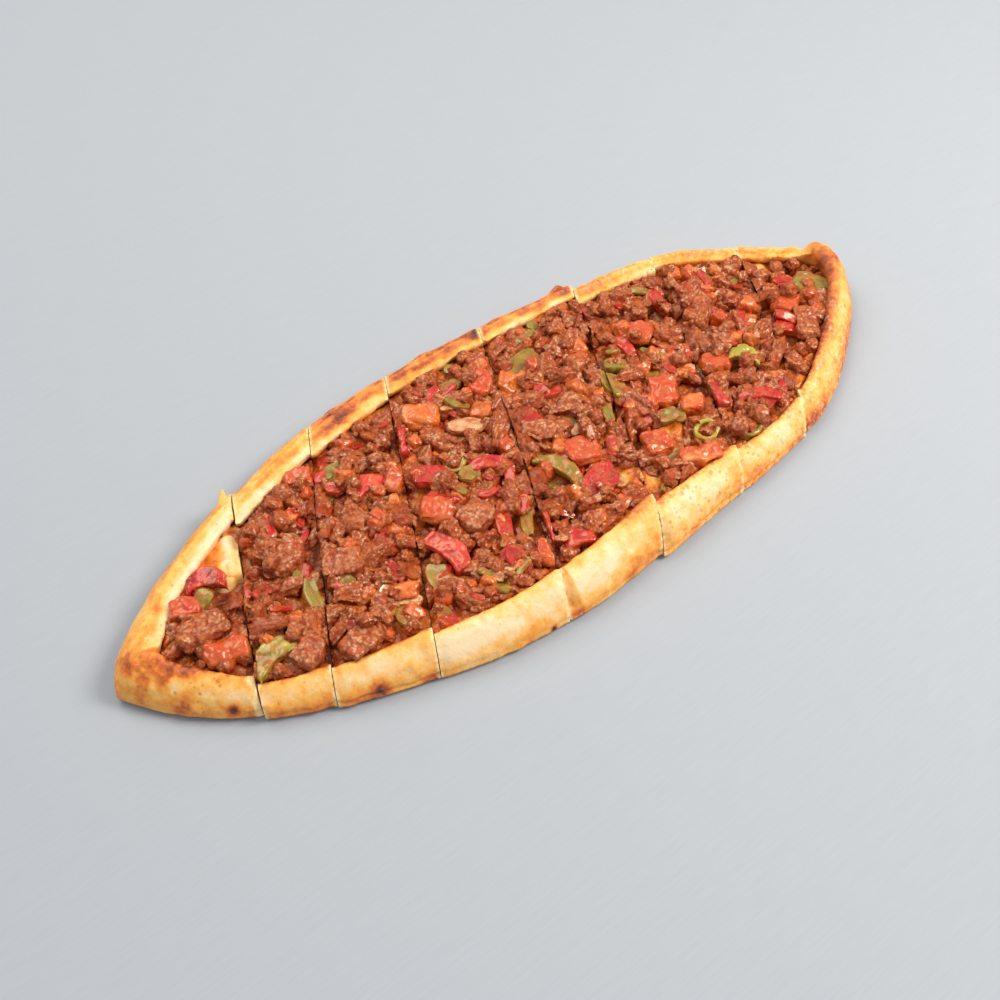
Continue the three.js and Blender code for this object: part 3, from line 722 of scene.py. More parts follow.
def dough_relief(number, wall, place):
    """How far the dough rises along its normal: soft swells, blisters, folds and creases."""
    swell = 0.5 * ripple(place, 31, 4) + 0.35 * ripple(place, 13, 9)
    for x, y, reach, rise in TORN_EDGES:
        away = math.hypot(wall.x - x, wall.y - y)
        swell += rise * hump(away, 0, reach) * smooth(wall.z, 12, 16)
    blister = 1.5 * max(ripple(place, 8, 21) - 0.25, 0)
    wrinkle = 0.16 * ripple(place, 3.6, 2) + 0.1 * ripple(place, 1.9, 6)
    roll = 0.8 * hump(wall.share, 0.82 + wall.bend, 0.12)
    roll -= 0.7 * hump(wall.share, 0.62 + wall.bend, 0.08)
    roll -= SECOND_CREASE[number - 1] * hump(wall.share, 0.4 + 2 * wall.bend, 0.05)
    roll += 0.7 * ripple(place, 10, 33) + 0.9 * smooth(wall.share, 0.6, 0.85) * ripple(place, 7, 34)
    flap = -1.1 * FOOT_FOLD[number - 1] * hump(wall.z, wall.fold_height, 0.9)
    flap -= LEFT_DIP[number - 1] * (1 - smooth(wall.from_left, 1, 8)) * smooth(wall.z, 3, 10)
    flap += 0.6 * (1 - smooth(wall.from_right, 0, 7)) * smooth(wall.z, 10, 17)
    if number == SLICES:
        ridge = 1.3 * hump(wall.share, 0.76, 0.14)
        depth = mix(0.4, 1.3, smooth(wall.y, -40, -8))
        ridge -= depth * hump(wall.share, 0.52 + wall.bend, 0.06)
        flap += smooth(wall.x, 130, 160) * ridge
        away = math.hypot(wall.x - KNOT[0], wall.y - KNOT[1])
        knot = 2.4 * hump(away, 0, 5.5) - 2.2 * crease(wall, KNOT_CREASE, 1.6)
        swell += knot * smooth(wall.z, 12, 18)
    if number == 1 and on_bubble(wall, 7):
        swell += 1.3 * ripple(place, 9, 71) - 1.2 * max(1 - abs(ripple(place, 15, 72)) * 5, 0)
    upper = smooth(wall.z, 9, 14)
    return swell + blister + wrinkle + mix(roll * upper, flap, wall.flap)


def on_bubble(wall, least):
    """Whether a point of the first slice is inside its rim and above a least height."""
    return wall.share > 1.03 and wall.z > least


# How brown the front flap and the back roll of each slice came out, from 0, cream, to 1, charred.
FRONT_TOAST = (0.35, 0.33, 0.3, 0.16, 0.2, 0.26, 0.3, 0.4)
BACK_TOAST = (0.42, 0.46, 0.5, 0.52, 0.5, 0.4, 0.36, 0.38)
# Where the pale lip of the back roll starts, as a share of the rim, and how pale it is.
BACK_LIPS = (
    (0.6, 0.36), (0.66, 0.36), (0.74, 0.34), (0.76, 0.3), (0.7, 0.34), (0.7, 0.24), (0.85, 0.1),
    (0.85, 0.06),
)
FLOUR = (0.0, 0.0, 0.1, 0.15, 0.2, 0.45, 0.55, 0.6)
FRECKLES = (0.55, 0.5, 0.35, 0.3, 0.4, 1.0, 1.0, 0.8)
# Scorched places: layout x, y and height, reach, and how much browner.
SCORCHES = (
    (-195, 4, 19, 6.5, 0.34), (-191, -8, 16, 7, 0.34), (-179.5, -12, 18, 5.5, 0.26),
    (-198, -3, 11, 6, 0.18), (-189, -19.6, 9, 5.5, 0.26), (-174.3, -34, 7.7, 2.8, 0.5),
    (-174, -24, 17, 1.2, 0.4), (-122.5, -61.3, 7.3, 4.2, 0.48), (-128, -61, 4, 6, 0.14),
    (-48.8, -82.8, 3.6, 1.7, 0.8), (-65, -67, 17, 1.2, 0.5), (-117, 60, 8, 9, 0.3),
    (-3, 73, 17, 16, 0.2), (77, 64, 16, 12, 0.25), (25, 69, 17, 6, 0.25), (-58, 67, 14, 12, 0.2),
    (200, 5, 26, 3.2, 0.35), (-170, -33, 1, 3, 0.25), (-144, -55, 1, 2.5, 0.5),
)
BLOTCH_LEAST = 4.5  # the reach past which a scorched place is blotchy


def bubble_browning_and_shade(wall, place):
    """How brown the swollen floor is: whitish along its ridge beside the knife, yellow to orange where
    it runs down to the wall, partly browning and partly painted shade, and browner under the back
    lip, which is painted shade."""
    from_cut = cut_x(0, wall.y) - wall.x
    share = smooth(from_cut + 3 * ripple(place, 9, 61), 6, 12)
    return 0.2 + 0.4 * share + 0.14 * ripple(place, 5, 62) + 0.2 * smooth(wall.y, 38, 44)


def dough_browning_and_shade(number, wall, place, normal):
    """How brown the dough is at a point, with painted shade in its creases, on faces turned inwards
    and beside sunken ends, a painted highlight in the middle of each flap, and painted warm
    reflected light low on its walls.
    """
    if number == 1 and math.hypot(wall.x - BUBBLE[0], wall.y - BUBBLE[1]) < BUBBLE[2]:
        if on_bubble(wall, 5):
            return bubble_browning_and_shade(wall, place)
    facing = normal.dot(wall.inwards)
    front = FRONT_TOAST[number - 1]
    # Browner low on the wall: partly the baked foot, partly painted warm light reflected from below.
    front += 0.18 * (1 - smooth(wall.z, 1, 3.5)) + 0.05 * (1 - smooth(wall.z, 5, 13))
    # Paler in the middle of the flap: partly cream dough, partly painted highlight.
    front -= 0.14 * hump(wall.share, 0.42, 0.22)
    if wall.x < 140:
        front += 0.12 * smooth(wall.share + 0.08 * ripple(place, 9, 50), 0.62, 0.9)
    front += 0.14 * (1 - smooth(wall.share + 0.1 * ripple(place, 12, 51), 0.04, 0.3))
    front += 0.1 * (1 - smooth(wall.from_right + 2 * ripple(place, 10, 52), 1, 6))
    front += 0.07 * smooth(wall.x, 140, 165)
    # Browner on faces turned inwards near the top: painted shade.
    edge = 0.2 if wall.x < 150 else 0.08
    front += edge * smooth(facing, 0.15, 0.7) * smooth(wall.z, 9, 14)
    # Browner along the fold: painted shade in its groove.
    front += 0.16 * FOOT_FOLD[number - 1] * hump(wall.z, wall.fold_height, 0.8)
    # Browner beside the knife at the left end, where the flap sinks: painted shade.
    reach, depth = LEFT_END_SHADE[number - 1]
    front += depth * (1 - smooth(wall.from_left + ripple(place, 8, 53), reach - 0.8, reach + 0.8))
    # Browner along the crease of the back roll and its second crease: painted shade in the grooves.
    back = BACK_TOAST[number - 1] + 0.1 * hump(wall.share, 0.6 + wall.bend, 0.06)
    back += 0.1 * SECOND_CREASE[number - 1] * hump(wall.share, 0.4 + 2 * wall.bend, 0.05)
    start, paleness = BACK_LIPS[number - 1]
    uneven = 0.16 * ripple(place, 12, 41) + 0.07 * ripple(place, 4.5, 42)
    back -= paleness * smooth(wall.share - wall.bend + uneven, start - 0.1, start + 0.2)
    # Browner on faces turned inwards low on the back roll, under its lip: painted shade.
    back += 0.3 * smooth(facing, 0.5, 0.9) * (1 - smooth(wall.z, 12, 15))
    if number == SLICES:
        tip = smooth(wall.x, 130, 160)
        by_knot = smooth(wall.y, -30, -8)
        # Browner on the inner side of the right rim and along its crease: painted shade.
        front += tip * mix(0.18, 0.04, by_knot) * smooth(wall.share, 0.5, 0.85)
        front += tip * 0.1 * by_knot * hump(wall.share, 0.5 + wall.bend, 0.07)
    under = 0.2 * smooth(-normal.z, 0.5, 0.9)
    return mix(back, front, wall.flap) + scorch(wall, place) + under


def scorch(wall, place):
    """How much browner a point is for the scorched places near it, of which the larger are blotchy."""
    here = Vector((wall.x, wall.y, wall.z))
    blotch = ripple(place, 7, 3) + 0.5 * ripple(place, 2.6, 12)
    blotch = 0.35 + 0.9 * smooth(blotch, -0.35, 0.3)
    browner = 0.0
    for x, y, z, reach, depth in SCORCHES:
        away = (here - Vector((x, y, z))).length
        if away < 3 * reach:
            browner += depth * hump(away, 0, reach) * (blotch if reach > BLOTCH_LEAST else 1)
    return browner


def crust_slice(number, dough, curtain):
    """One slice's dough: its wall, its floor and its cut faces."""
    node_name = f"dough_slice_{number}"
    piece = copy_of_node(node_name, f"crust_slice_{number}")
    to_layout = slice_matrix(number).inverted()
    packed, faces = packed_faces(number), joint_faces(number)
    even_mesh(piece, *CRUST_MESH)

    def relief(place, normal):
        wall = Wall(number, place, to_layout, curtain)
        rise = dough_relief(number, wall, place) * smooth(wall.z, 0.8, 3.2)
        return close_joint(place, normal * mm(rise), packed, faces)

    shift_points(piece, relief)
    walls = {}

    def wall_at(place):
        key = tuple(place)
        if key not in walls:
            walls[key] = Wall(number, place, to_layout, curtain)
        return walls[key]

    def crumb(place, normal):
        torn = wall_at(place).flap * (3 + 3 * ripple(place, 5, 81)) if number == 1 else 0
        reach = 0.8 + max(torn, 0)
        return 1 - smooth(cut_depth(place, faces), mm(0.6 * reach - 0.4), mm(reach))

    def dusting(place, normal):
        wall = wall_at(place)
        outside = 1 - smooth(wall.share, 0.5, 0.9)
        by_tip = smooth(wall.x, 165, 190)
        return FLOUR[number - 1] * mix(outside, 1, wall.flap) * (1 - 0.8 * by_tip)

    def freckles(place, normal):
        wall = wall_at(place)
        return FRECKLES[number - 1] + 0.35 * smooth(wall.share, 0.5, 0.8) * wall.flap

    paint(piece, "browning_and_shade", lambda p, n: dough_browning_and_shade(number, wall_at(p), p, n))
    paint(piece, "cut_face", crumb)
    paint(piece, "flour", dusting)
    paint(piece, "freckles", freckles)
    finish_piece(piece, dough, "crust", node_name)


def torn_fin(dough):
    """The scrap that the knife dragged up from the back roll at the first cut, thin at its tip."""
    piece = block("torn_fin", 9)
    into_slice = slice_matrix(1)
    left, right = Vector((-139, 48.5, 12)), Vector((-123.5, 50, 13.5))
    rise, across = Vector((1.5, 9, 7)), Vector((0, -0.68, 0.73))

    def form(place, normal):
        along, up = place.x + 0.5, place.z + 0.5
        point = left.lerp(right, along) + rise * up * (0.08 + 0.92 * smooth(along, 0.3, 1))
        point += across * place.y * mix(3, 0.6, up)
        point += across * 0.9 * noise.noise(Vector((3 * along, 2 * up, 5.5)))
        return into_slice @ (point / 1000) - place

    shift_points(piece, form)
    modify(piece, "SMOOTH", factor=0.5, iterations=2)
    turn_outwards(piece)
    paint(piece, "browning_and_shade", lambda place, normal: 0.34 + 0.15 * ripple(place, 5, 8))
    finish_piece(piece, dough, "crust")


def swollen_floor(dough, curtain):
    """The bare floor of the first slice, puffed up between the back roll and the first cut."""
    piece = block("swollen_floor", 39)
    into_slice = slice_matrix(1)
    to_layout = into_slice.inverted()
    x, y, reach = BUBBLE
    under = 7  # buried in the slice's own floor

    def form(place, normal):
        away = 2 * max(abs(place.x), abs(place.y))
        squeeze = reach * away / max(math.hypot(place.x, place.y), 0.001)
        here = Vector((x + place.x * squeeze, y + place.y * squeeze, under))
        from_cut = cut_x(0, here.y) - here.x
        height = 12.9 + 2.2 * hump(from_cut, 4.5, 4) * (1 - smooth(away, 0.5, 0.95))
        height += 0.8 * ripple(here / 1000, 9, 71) - 5.5 * smooth(away, 0.72, 1.0)
        height -= 1.4 * max(1 - abs(ripple(here / 1000, 17, 72)) * 6, 0)
        if place.z > 0:
            here.z = mix(under, height, place.z + 0.5)
        return into_slice @ (here / 1000) - place

    shift_points(piece, form)
    faces = joint_faces(1)
    trimmed(piece, faces)
    turn_outwards(piece)

    def browning_and_shade(place, normal):
        return bubble_browning_and_shade(Wall(1, place, to_layout, curtain), place)

    paint(piece, "browning_and_shade", browning_and_shade)
    paint(piece, "cut_face", lambda p, n: 1 - smooth(cut_depth(p, faces), mm(0.1), mm(0.8)))
    finish_piece(piece, dough, "crust")


# ---- Topping ----


def sauce_bed(number, sauce):
    """The bed of sauce and minced scraps that a slice's dice are sunk in."""
    node_name = f"topping_heap_{number}"
    piece = copy_of_node(node_name, f"sauce_bed_{number}")
    even_mesh(piece, *SAUCE_MESH)
    base = mm(BED_TOP)
    packed, faces = packed_faces(number), joint_faces(number, TOPPING_OPENNESS)

    def settle(place, normal):
        above = smooth(place.z, mm(8), mm(11.5))
        level = base + mm(1) + 0.35 * max(place.z - base, 0)
        lumps = mm(2.0 * ripple(place, 7, 5) + 1.1 * ripple(place, 3.2, 8))
        moved = Vector((0, 0, (min(place.z, level) - place.z + lumps) * above))
        return close_joint(place, moved, packed, faces)

    shift_points(piece, settle)
    modify(piece, "SMOOTH", factor=0.5, iterations=1)
    to_layout = slice_matrix(number).inverted()

    def thinness(place, normal):
        here = to_layout @ place * 1000
        near = max(hump(math.hypot(here.x - x, here.y - y), 0, r) for x, y, r in THIN_SAUCE)
        return near * (0.8 + 0.6 * ripple(place, 5, 91))

    paint(piece, "thin", thinness)
    finish_piece(piece, sauce, "topping", node_name)
    return piece


def cut_shape(name, seed, cuts, roundness, facets, lumps, creases):
    """A knife-cut morsel of unit size: a block with its corners pressed round, flat facets where
    the knife or a neighbour squared it, lumps and creases."""
    shape = block(name, cuts)
    edit(shape, (bpy.ops.transform.tosphere, {"value": roundness}))
    sides = []
    for k in range(facets):
        turn = between(0, 2 * math.pi, seed, 40 + k)
        rise = between(-0.9, 0.9, seed, 60 + k)
        level = math.sqrt(1 - rise * rise)
        side = Vector((level * math.cos(turn), level * math.sin(turn), rise))
        sides.append((side, between(0.36, 0.46, seed, 80 + k)))
    offset = Vector((seed * 1.7, seed * 0.9, -seed * 1.3))

    def press(place, normal):
        moved = Vector((0, 0, 0))
        for side, reach in sides:
            moved -= side * max((place + moved).dot(side) - reach, 0)
        return moved

    def creased(place):
        return crease_at(Vector((place.x * 1.6, place.y * 2.3, place.z * 2.3)) + offset)

    def tear(place, normal):
        lump = noise.noise(place * 2.2 + offset) + 0.55 * noise.noise(place * 4.6 - offset)
        knob = noise.noise(place * 6.5 + offset * 2)
        return normal * (lumps * (lump + 0.65 * knob) - creases * creased(place))

    shift_points(shape, press)
    modify(shape, "SMOOTH", factor=0.5, iterations=1)
    # Where the shape is darker: its creases and underside, for pooled sauce and painted shade.
    paint(shape, "sauce_and_shade", lambda p, n: 0.75 * creased(p) + smooth(-p.z, 0.05, 0.4))
    shift_points(shape, tear)
    return shape


def strip_shape(name, seed, length, width, height, curl):
    """A strip of unit length cut from a vegetable's wall, curled in its plane, skin side up."""
    shape = cut_shape(name, seed, 7, 0.25, 0, 0.05, 0.03)

    def form(place, normal):
        x, y, z = place.x * length, place.y * width, place.z * height
        y *= 1 - 0.35 * smooth(abs(place.x), 0.3, 0.6)
        angle = x * curl / length
        radius = length / max(curl, 0.01)
        bent = Vector(((radius + y) * math.sin(angle), (radius + y) * math.cos(angle) - radius, z))
        bent.z += 0.08 * length * noise.noise(Vector((place.x * 2, place.y, seed * 3.3)))
        return bent - place

    paint(shape, "skin", lambda p, n: smooth(n.z, 0.3, 0.8))
    shift_points(shape, form)
    return shape


def lattice():
    """The dice of the heap in the layout, in uneven rows: number, x and y."""
    rows = math.ceil(WIDTH / DICE_PITCH / DICE_ROW / 2) + 1
    columns = math.ceil(LENGTH / DICE_PITCH / 2) + 1
    for row in range(1 - rows, rows):
        for column in range(1 - columns, columns):
            n = 100 * (row + 20) + column + 30
            x = (column + 0.5 * (row & 1)) * DICE_PITCH + DICE_SPREAD * (chance(n, 1) - 0.5)
            y = row * DICE_PITCH * DICE_ROW + DICE_SPREAD * (chance(n, 2) - 0.5)
            yield n, x, y


def near_small_piece(x, y):
    return any(
        math.hypot(px - x, py - y) < (length + width) / 4 + 1.5
        for _, px, py, length, width, _, _ in SMALL_PIECES
    )


def morsel(shape, name, place, seed, size, tilt, tone, strands, crust=None):
    """A copy of a unit shape, given its size in millimetres, turned and tilted by chance, and moved
    off the walls of dough if it is given them. Strands sets how its fibres run."""
    turned = Matrix.Translation(place) @ Matrix.Rotation(between(0, 2 * math.pi, seed, 16), 4, "Z")
    for axis, k in (("X", 17), ("Y", 18)):
        turned = turned @ Matrix.Rotation(between(-tilt, tilt, seed, k), 4, axis)
    if crust:
        turned.translation = eased_off(place, turned, size, crust)
    piece = stamp(shape, name, turned @ Matrix.Diagonal((*map(mm, size), 1)))
    give_tone(piece, tone)
    write_grain(piece, turned.inverted(), strands)
    return piece


def eased_off(place, turned, size, crust):
    """A die's place moved away from the walls of dough that it would run into."""
    for axis in (0, 1):
        along = turned.col[axis].to_3d()
        along = Vector((along.x, along.y, 0)).normalized()
        reach = mm(size[axis] / 2 - 1)
        for way in (along, -along):
            hit, _, _, far = crust.ray_cast(place, way, reach)
            if hit:
                place = place - way * (reach - far)
    return place


def on_bare_floor(number, x, y, margin):
    """Whether a piece with a margin round its middle would cover dough or thin sauce that shows."""
    if number == 1 and math.hypot(x - BUBBLE[0], y - BUBBLE[1]) < BUBBLE[2] - 2:
        return True
    return any(math.hypot(x - px, y - py) < reach + margin for px, py, reach in THIN_SAUCE)


def inside(place, planes):
    """A place moved, where it lies in a cut, onto the slice beside it."""
    place = place.copy()
    for start, out in planes:
        place -= out * max((place - start).dot(out) + mm(0.8), 0)
    return place


def meat_dice(number, shapes, small_shapes, meat, crust):
    """The dice of one slice, cut through where the knife went."""
    heap = surface_of(nodes[f"topping_heap_{number}"])
    planes = packed_faces(number)
    place_in_slice = slice_matrix(number)
    lengths, widths = LONG_DICE if number >= LONG_DICE_FROM else SQUARE_DICE
    dice = []
    for n, x, y in lattice():
        place = place_in_slice @ Vector((mm(x), mm(y), 0))
        if cut_depth(place, planes) < mm(-DIE_OVERHANG) or near_small_piece(x, y):
            continue
        if on_bare_floor(number, x, y, 4):
            continue
        probe = inside(place, planes)
        height = height_at(heap, probe)
        for _ in range(6):
            if height is None:
                inwards = Vector((0, -math.copysign(mm(1), y), 0))
                probe, place = probe + inwards, place + inwards
                height = height_at(heap, probe)
        if height is None or height < mm(BED_TOP + CREST_LEAST):
            continue
        big = between(0.8, 1.2, n, 11)
        depth = between(*DICE_DEPTHS, n, 14)
        size = (big * between(*lengths, n, 12), big * between(*widths, n, 13), depth)
        top = min(height + mm(between(-1.2, 0.9, n, 15)), mm(DICE_TOP))
        place.z = top - mm(depth * DIE_MIDDLE)
        shape = shapes[n % len(shapes)]
        name = f"die_{number}_{n}"
        dice.append(morsel(shape, name, place, n, size, 0.4, chance(n, 19), n, crust))
    dice += filler_dice(number, heap, small_shapes, crust)
    piece = joined(dice, f"meat_dice_{number}")

    def sink(place, normal):
        rim = height_at(crust, inside(place, planes))
        over = place.z - (rim - mm(BELOW_RIM)) if rim and rim > mm(RIM_LEAST) else 0
        return Vector((0, 0, -max(over, 0)))

    shift_points(piece, sink)
    faces = joint_faces(number, TOPPING_OPENNESS)
    trimmed(piece, faces)

    def tear(place, normal):
        moved = Vector((0, 0, 0))
        for start, out in faces:
            if (place - start).dot(out) > mm(-0.3):
                moved -= out * mm(1.1) * max(ripple(place, 4, 19) + 0.1, 0)
        return moved

    shift_points(piece, tear)
    turn_outwards(piece)
    paint(piece, "cut_face", lambda p, n: 1 - smooth(cut_depth(p, faces), mm(0.05), mm(0.3)))
    finish_piece(piece, meat, "meat", f"topping_heap_{number}")
    return piece


def filler_dice(number, heap, shapes, crust):
    """Smaller dice that fill the places between the others."""
    planes = packed_faces(number)
    made = []
    for n, x, y in lattice():
        for across, along, k in ((0.5, 0.25, 120), (0.05, 0.5, 140)):
            there_x = x + DICE_PITCH * (across + between(-0.12, 0.12, n, k))
            there_y = y + DICE_PITCH * (along + between(-0.12, 0.12, n, k + 1))
            place = slice_matrix(number) @ Vector((mm(there_x), mm(there_y), 0))
            if height_at(heap, place) is None or cut_depth(place, planes) < mm(0.5):
                continue
            if near_small_piece(there_x, there_y) or on_bare_floor(number, there_x, there_y, 2):
                continue
            place.z = mm(between(*FILLER_MIDDLES, n, k + 4))
            room = 1000 * crust.find_nearest(place)[3]
            if room < FILLER_ROOM:
                continue
            length = min(between(*FILLER_LENGTHS, n, k + 2), 2 * room)
            width = min(between(*FILLER_WIDTHS, n, k + 3), 2 * room)
            shape = shapes[(n + k) % len(shapes)]
            name, tone = f"filler_{number}_{n}_{k}", chance(n, k + 5)
            size = (length, width, FILLER_DEPTH)
            made.append(morsel(shape, name, place, n + k, size, 0.6, tone, n))
    return made


def small_pieces(kind, shapes, material, slot, name, *where):
    """The small pieces of one kind: those with a place of their own, cut where the knife met
    them, and scraps scattered over the heaps."""
    pieces = []
    for n, (what, x, y, length, width, height, turn) in enumerate(SMALL_PIECES):
        if what != kind:
            continue
        for number in range(1, SLICES + 1):
            planes = joint_faces(number)
            place = slice_matrix(number) @ Vector((mm(x), mm(y), 0))
            if cut_depth(place, planes) < mm(-length / 2):
                continue
            packed = surface_of(nodes[f"topping_heap_{number}"])
            top = height_at(packed, place) or mm(BED_TOP + 5)
            place.z = top - mm(height * 0.45)
            turned = Matrix.Translation(place) @ Matrix.Rotation(math.radians(turn), 4, "Z")
            turned = turned @ Matrix.Rotation(between(-0.2, 0.2, n, 6), 4, "X")
            size = (length, width, height) if kind == "tomato" else (length,) * 3
            scale = Matrix.Diagonal((*map(mm, size), 1))
            piece = stamp(shapes[n % len(shapes)], f"{name}_{n}_{number}", turned @ scale)
            trimmed(piece, planes)
            if piece.data.vertices:
                give_tone(piece, chance(n, 7))
                pieces.append(piece)
            else:
                bpy.data.objects.remove(piece)
    pieces += scattered(shapes, name, *where)
    piece = joined(pieces, name)
    turn_outwards(piece)
    finish_piece(piece, material, slot)


def scattered(shapes, name, scraps, heaps, crust, standing):
    """Scraps pressed into the low places of the heaps, clear of the crust and mostly of the pieces
    that stand out. Scraps gives how many are tried on a slice, their least and greatest length,
    their height and how deep they are sunk as shares of it, and a seed."""
    tries, least, most, flat, sunk, seed = scraps
    made = []
    for number in range(1, SLICES + 1):
        planes = joint_faces(number)
        into_slice = slice_matrix(number)
        middle = (cut_x(number - 2, 0) + cut_x(number - 1, 0)) / 2
        span = cut_x(number - 1, 0) - cut_x(number - 2, 0)
        for i in range(tries):
            n = seed + 97 * number + 1009 * i
            y = between(-SCATTER_REACH, SCATTER_REACH, n, 1)
            x = middle + span * between(-0.5, 0.5, n, 2) + SLICE_LEAN * y
            size = between(least, most, n, 3)
            if on_bare_floor(number, x, y, 0):
                continue
            place = into_slice @ Vector((mm(x), mm(y), 0))
            height = height_at(heaps[number - 1], place)
            if height is None or height > mm(SCATTER_TOP):
                continue
            if cut_depth(place, planes) < mm(0.6 * size):
                continue
            if crust.find_nearest(Vector((place.x, place.y, height)))[3] < mm(0.6 * size):
                continue
            raised = height_at(standing, place)
            if raised is not None:
                if flat < 0.7 or chance(n, 8) > 0.5:
                    continue
                height = max(height, raised)
            place.z = height - mm(size * flat * sunk)
            shape = shapes[n % len(shapes)]
            label = f"{name}_{number}_{i}"
            made.append(morsel(shape, label, place, n, (size,) * 3, 0.45, chance(n, 7), n))
    return made


def ring_fillings(shapes, meat):
    """The meat that lies in the rings of green pepper."""
    fillings = []
    for i, ring in enumerate(sorted(name for name in nodes if name.startswith("green_ring"))):
        low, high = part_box(ring)
        middle = (low + high) / 2
        middle.z = high.z - mm(3.2)
        reach = 700 * min(high.x - low.x, high.y - low.y)
        size = (reach, reach * 0.9, 6)
        shape, name = shapes[i + 3], f"ring_filling_{i}"
        fillings.append(morsel(shape, name, middle, i + 5, size, 0.3, chance(i, 9), i))
    finish_piece(joined(fillings, "ring_fillings"), meat, "meat")


def standout(node_name, name, material, slot, seed, lumps, rounding):
    """One of the larger pieces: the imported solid, softened and torn by cooking."""
    piece = copy_of_node(node_name, name)
    even_mesh(piece, STANDOUT_FACES, rounding)
    low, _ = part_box(node_name)
    foot = low.z + mm(2.5)
    offset = Vector((seed * 2.3, seed, -seed * 1.1))
    is_meat = slot == "meat"
    folds = 0.7 if is_meat else 0.2
    has_skin = chance(seed, 4) > 0.4

    def creased(place):
        return crease_at(place * (1000 / 8) + offset)

    def soften(place, normal):
        swell = ripple(place, 7, seed) + 0.5 * ripple(place, 3.2, seed) + 0.2 * ripple(place, 1.6)
        return normal * mm(lumps * (swell - 0.4 * creased(place)))

    give_tone(piece, between(0.6, 0.9, seed, 3) if is_meat else chance(seed, 3))
    # Darker in the creases and at the foot: pooled sauce and painted shade.
    paint(piece, "sauce_and_shade", lambda p, n: folds * creased(p) + 1 - smooth(p.z, low.z, foot))
    paint(piece, "skin", lambda p, n: smooth(n.z, 0.2, 0.7) * has_skin)
    shift_points(piece, soften)
    write_grain(piece, Matrix.Rotation(between(0, math.pi, seed, 5), 4, "Z"), seed)
    finish_piece(piece, material, slot, node_name)


# ---- The stage ----


def stage():
    """A pale floor and soft studio light: a window to the right, and a paler sky behind."""
    deselect()
    bpy.ops.mesh.primitive_plane_add(size=6, location=(0, 0, mm(-0.2)))
    floor = bpy.context.object
    floor.name = "floor"
    floor.data.materials.append(matt_backdrop())
    for name, place, size, watts in (
        ("window", (0.75, -0.5, 0.95), 0.5, 15.5),
        ("sky", (-0.1, 0.8, 1.2), 0.9, 11),
    ):
        bpy.ops.object.light_add(type="AREA", location=place)
        lamp = bpy.context.object
        lamp.name = name
        lamp.data.size = size
        lamp.data.energy = watts
        lamp.data.color = colour("#FFF2E0")[:3]
        lamp.rotation_euler = (-Vector(place)).to_track_quat("-Z", "Y").to_euler()
    world = bpy.data.worlds.new("studio")
    bpy.context.scene.world = world
    world.use_nodes = True
    world.node_tree.nodes["Background"].inputs["Color"].default_value = colour("#F6F7FA")
    world.node_tree.nodes["Background"].inputs["Strength"].default_value = 0.6


CAMERA_PLACE = (-208.0, -280.4, 428.4)  # in the layout
CAMERA_RIGHT = (0.79271, -0.60852, -0.03632)
CAMERA_DOWN = (-0.50165, -0.61732, -0.60602)
CAMERA_AHEAD = (0.34636, 0.49862, -0.79462)
FOCAL_SHARE = 1.15  # focal length as a share of the picture's width


def camera():
    bpy.ops.object.camera_add()
    eye = bpy.context.object
    eye.name = "camera"
    x, y, z = CAMERA_PLACE
    right, up, back = Vector(CAMERA_RIGHT), -Vector(CAMERA_DOWN), -Vector(CAMERA_AHEAD)
    turn = Matrix((right, up, back)).transposed().to_4x4()
    place = Matrix.Translation((mm(x - MIDDLE[0]), mm(y - MIDDLE[1]), mm(z)))
    eye.matrix_world = place @ turn
    eye.data.sensor_width = 36
    eye.data.lens = FOCAL_SHARE * eye.data.sensor_width
    bpy.context.scene.camera = eye


# ---- The pide ----

bpy.context.scene.view_settings.view_transform = "Standard"
stage()
camera()

DOUGH = baked_dough()
SAUCE = reduced_sauce()
MEAT = braised_meat()
TOMATO = cooked_flesh(
    "stewed_tomato", "#D24E14", "#EC9048", "#AE3606", "#DC7420", "#C43A0C", 0.25, 0.65
)
RED_PEPPER = cooked_flesh(
    "roast_red_pepper", "#C21812", "#E0523C", "#8E1008", "#CC4014", "#BA0E12", 0.2, 0.45
)
GREEN_PEPPER = cooked_flesh(
    "roast_green_pepper", "#94801E", "#C4B258", "#6E580E", "#ACA634", "#80781A", 0.2, 0.55
)
ONION = cooked_flesh(
    "soft_onion", "#D08A54", "#ECC8A0", "#A8602A", "#DE9A38", "#D8A46E", 0.5, 0.8
)

loose = sorted(name for name in nodes if not name.startswith(("dough_slice", "topping_heap")))
crust = surface_of(*(nodes[name] for name in nodes if name.startswith("dough_slice")))
standing = surface_of(*(nodes[name] for name in loose))
curtain = foot_curtain()

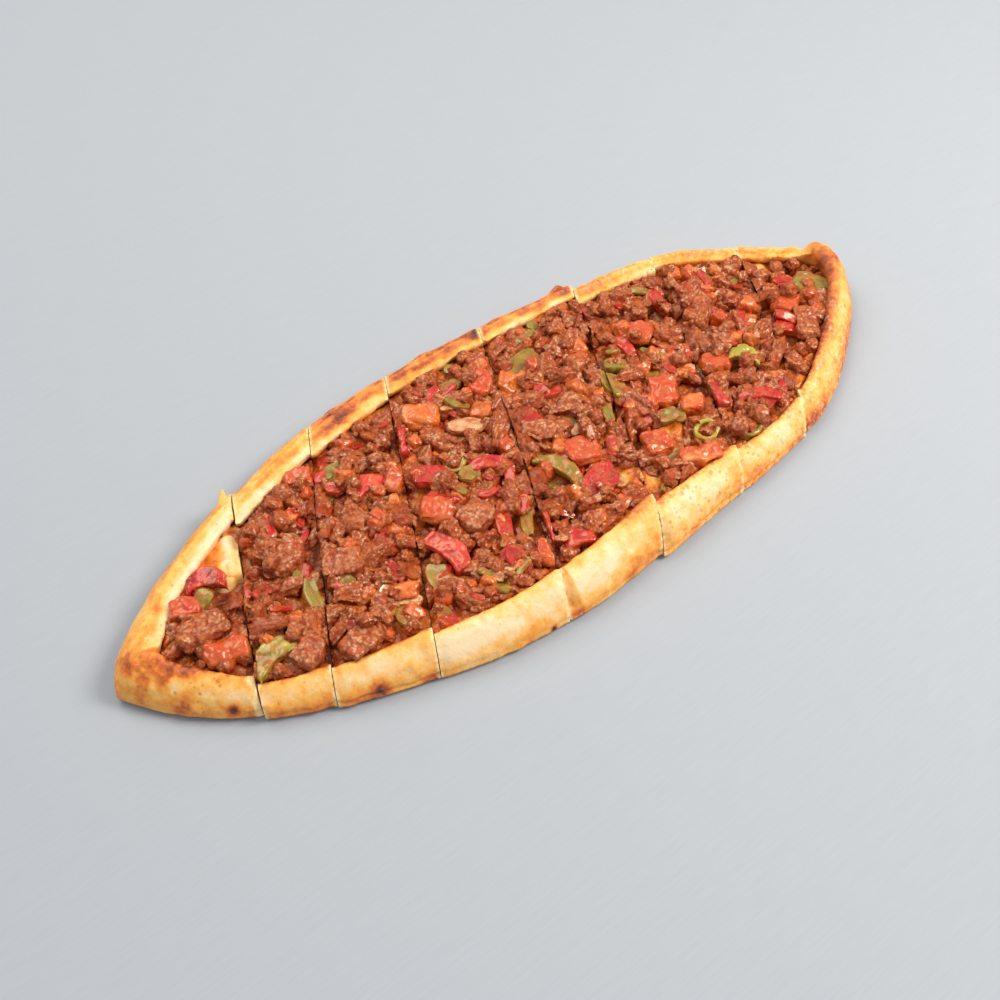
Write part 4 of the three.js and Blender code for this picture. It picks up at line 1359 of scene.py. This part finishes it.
# Masters, of unit size, that are copied for what repeats.
meat_shapes = [cut_shape(f"meat_shape_{i}", i + 1, 11, 0.75, 5, 0.16, 0.045) for i in range(14)]
scrap_shapes = [cut_shape(f"scrap_{i}", i + 70, 6, 0.7, 4, 0.16, 0.05) for i in range(12)]
tomato_shapes = [cut_shape(f"tomato_shape_{i}", i + 50, 7, 0.55, 1, 0.1, 0.03) for i in range(4)]
strips = [strip_shape(f"strip_{i}", i + 30, 1, 0.38, 0.2, 0.3 + 0.5 * i) for i in range(4)]
chips = [strip_shape(f"chip_{i}", i + 40, 1, 0.7, 0.3, 0.5 + 0.3 * i) for i in range(3)]
onion_shapes = [strip_shape(f"onion_{i}", i + 60, 1, 0.5, 0.16, 0.6 + 0.4 * i) for i in range(3)]

heaps = []
for slice_number in range(1, SLICES + 1):
    crust_slice(slice_number, DOUGH, curtain)
    bed = sauce_bed(slice_number, SAUCE)
    dice = meat_dice(slice_number, meat_shapes, scrap_shapes, MEAT, crust)
    heaps.append(surface_of(bed, dice))
torn_fin(DOUGH)
swollen_floor(DOUGH, curtain)
ring_fillings(meat_shapes, MEAT)

STANDOUTS = {
    "meat": ("lamb_piece", MEAT, "meat", 1.3, 6),
    "tomato": ("tomato_die", TOMATO, "tomato", 1.3, 8),
    "red_pepper": ("red_pepper_strip", RED_PEPPER, "red_pepper", 0.9, 7),
    "green_pepper": ("green_pepper_strip", GREEN_PEPPER, "green_pepper", 0.9, 7),
    "green_ring": ("green_pepper_ring", GREEN_PEPPER, "green_pepper", 0.6, 16),
}
for order, node_name in enumerate(loose):
    kind, number = node_name.rsplit("_", 1)
    name, material, slot, lumps, rounding = STANDOUTS[kind]
    standout(node_name, f"{name}_{number}", material, slot, order, lumps, rounding)

for kind, shapes, material, slot, name, scraps in (
    ("tomato", tomato_shapes, TOMATO, "tomato", "tomato_bits", (44, 4, 9, 0.6, 0.25, 11)),
    (
        "red_pepper", strips + chips, RED_PEPPER, "red_pepper", "red_pepper_bits",
        (40, 6, 13, 0.2, 0, 23),
    ),
    (
        "green_pepper", strips + chips, GREEN_PEPPER, "green_pepper", "green_pepper_bits",
        (30, 6, 12, 0.2, 0, 37),
    ),
    ("onion", onion_shapes, ONION, "topping", "onion_bits", (22, 5, 9, 0.16, 0.2, 51)),
    ("scrap", scrap_shapes, MEAT, "meat", "meat_scraps", (60, 4, 9, 0.8, 0, 67)),
):
    small_pieces(kind, shapes, material, slot, name, scraps, heaps, crust, standing)
for shape in meat_shapes + scrap_shapes + tomato_shapes + strips + chips + onion_shapes:
    bpy.data.objects.remove(shape)
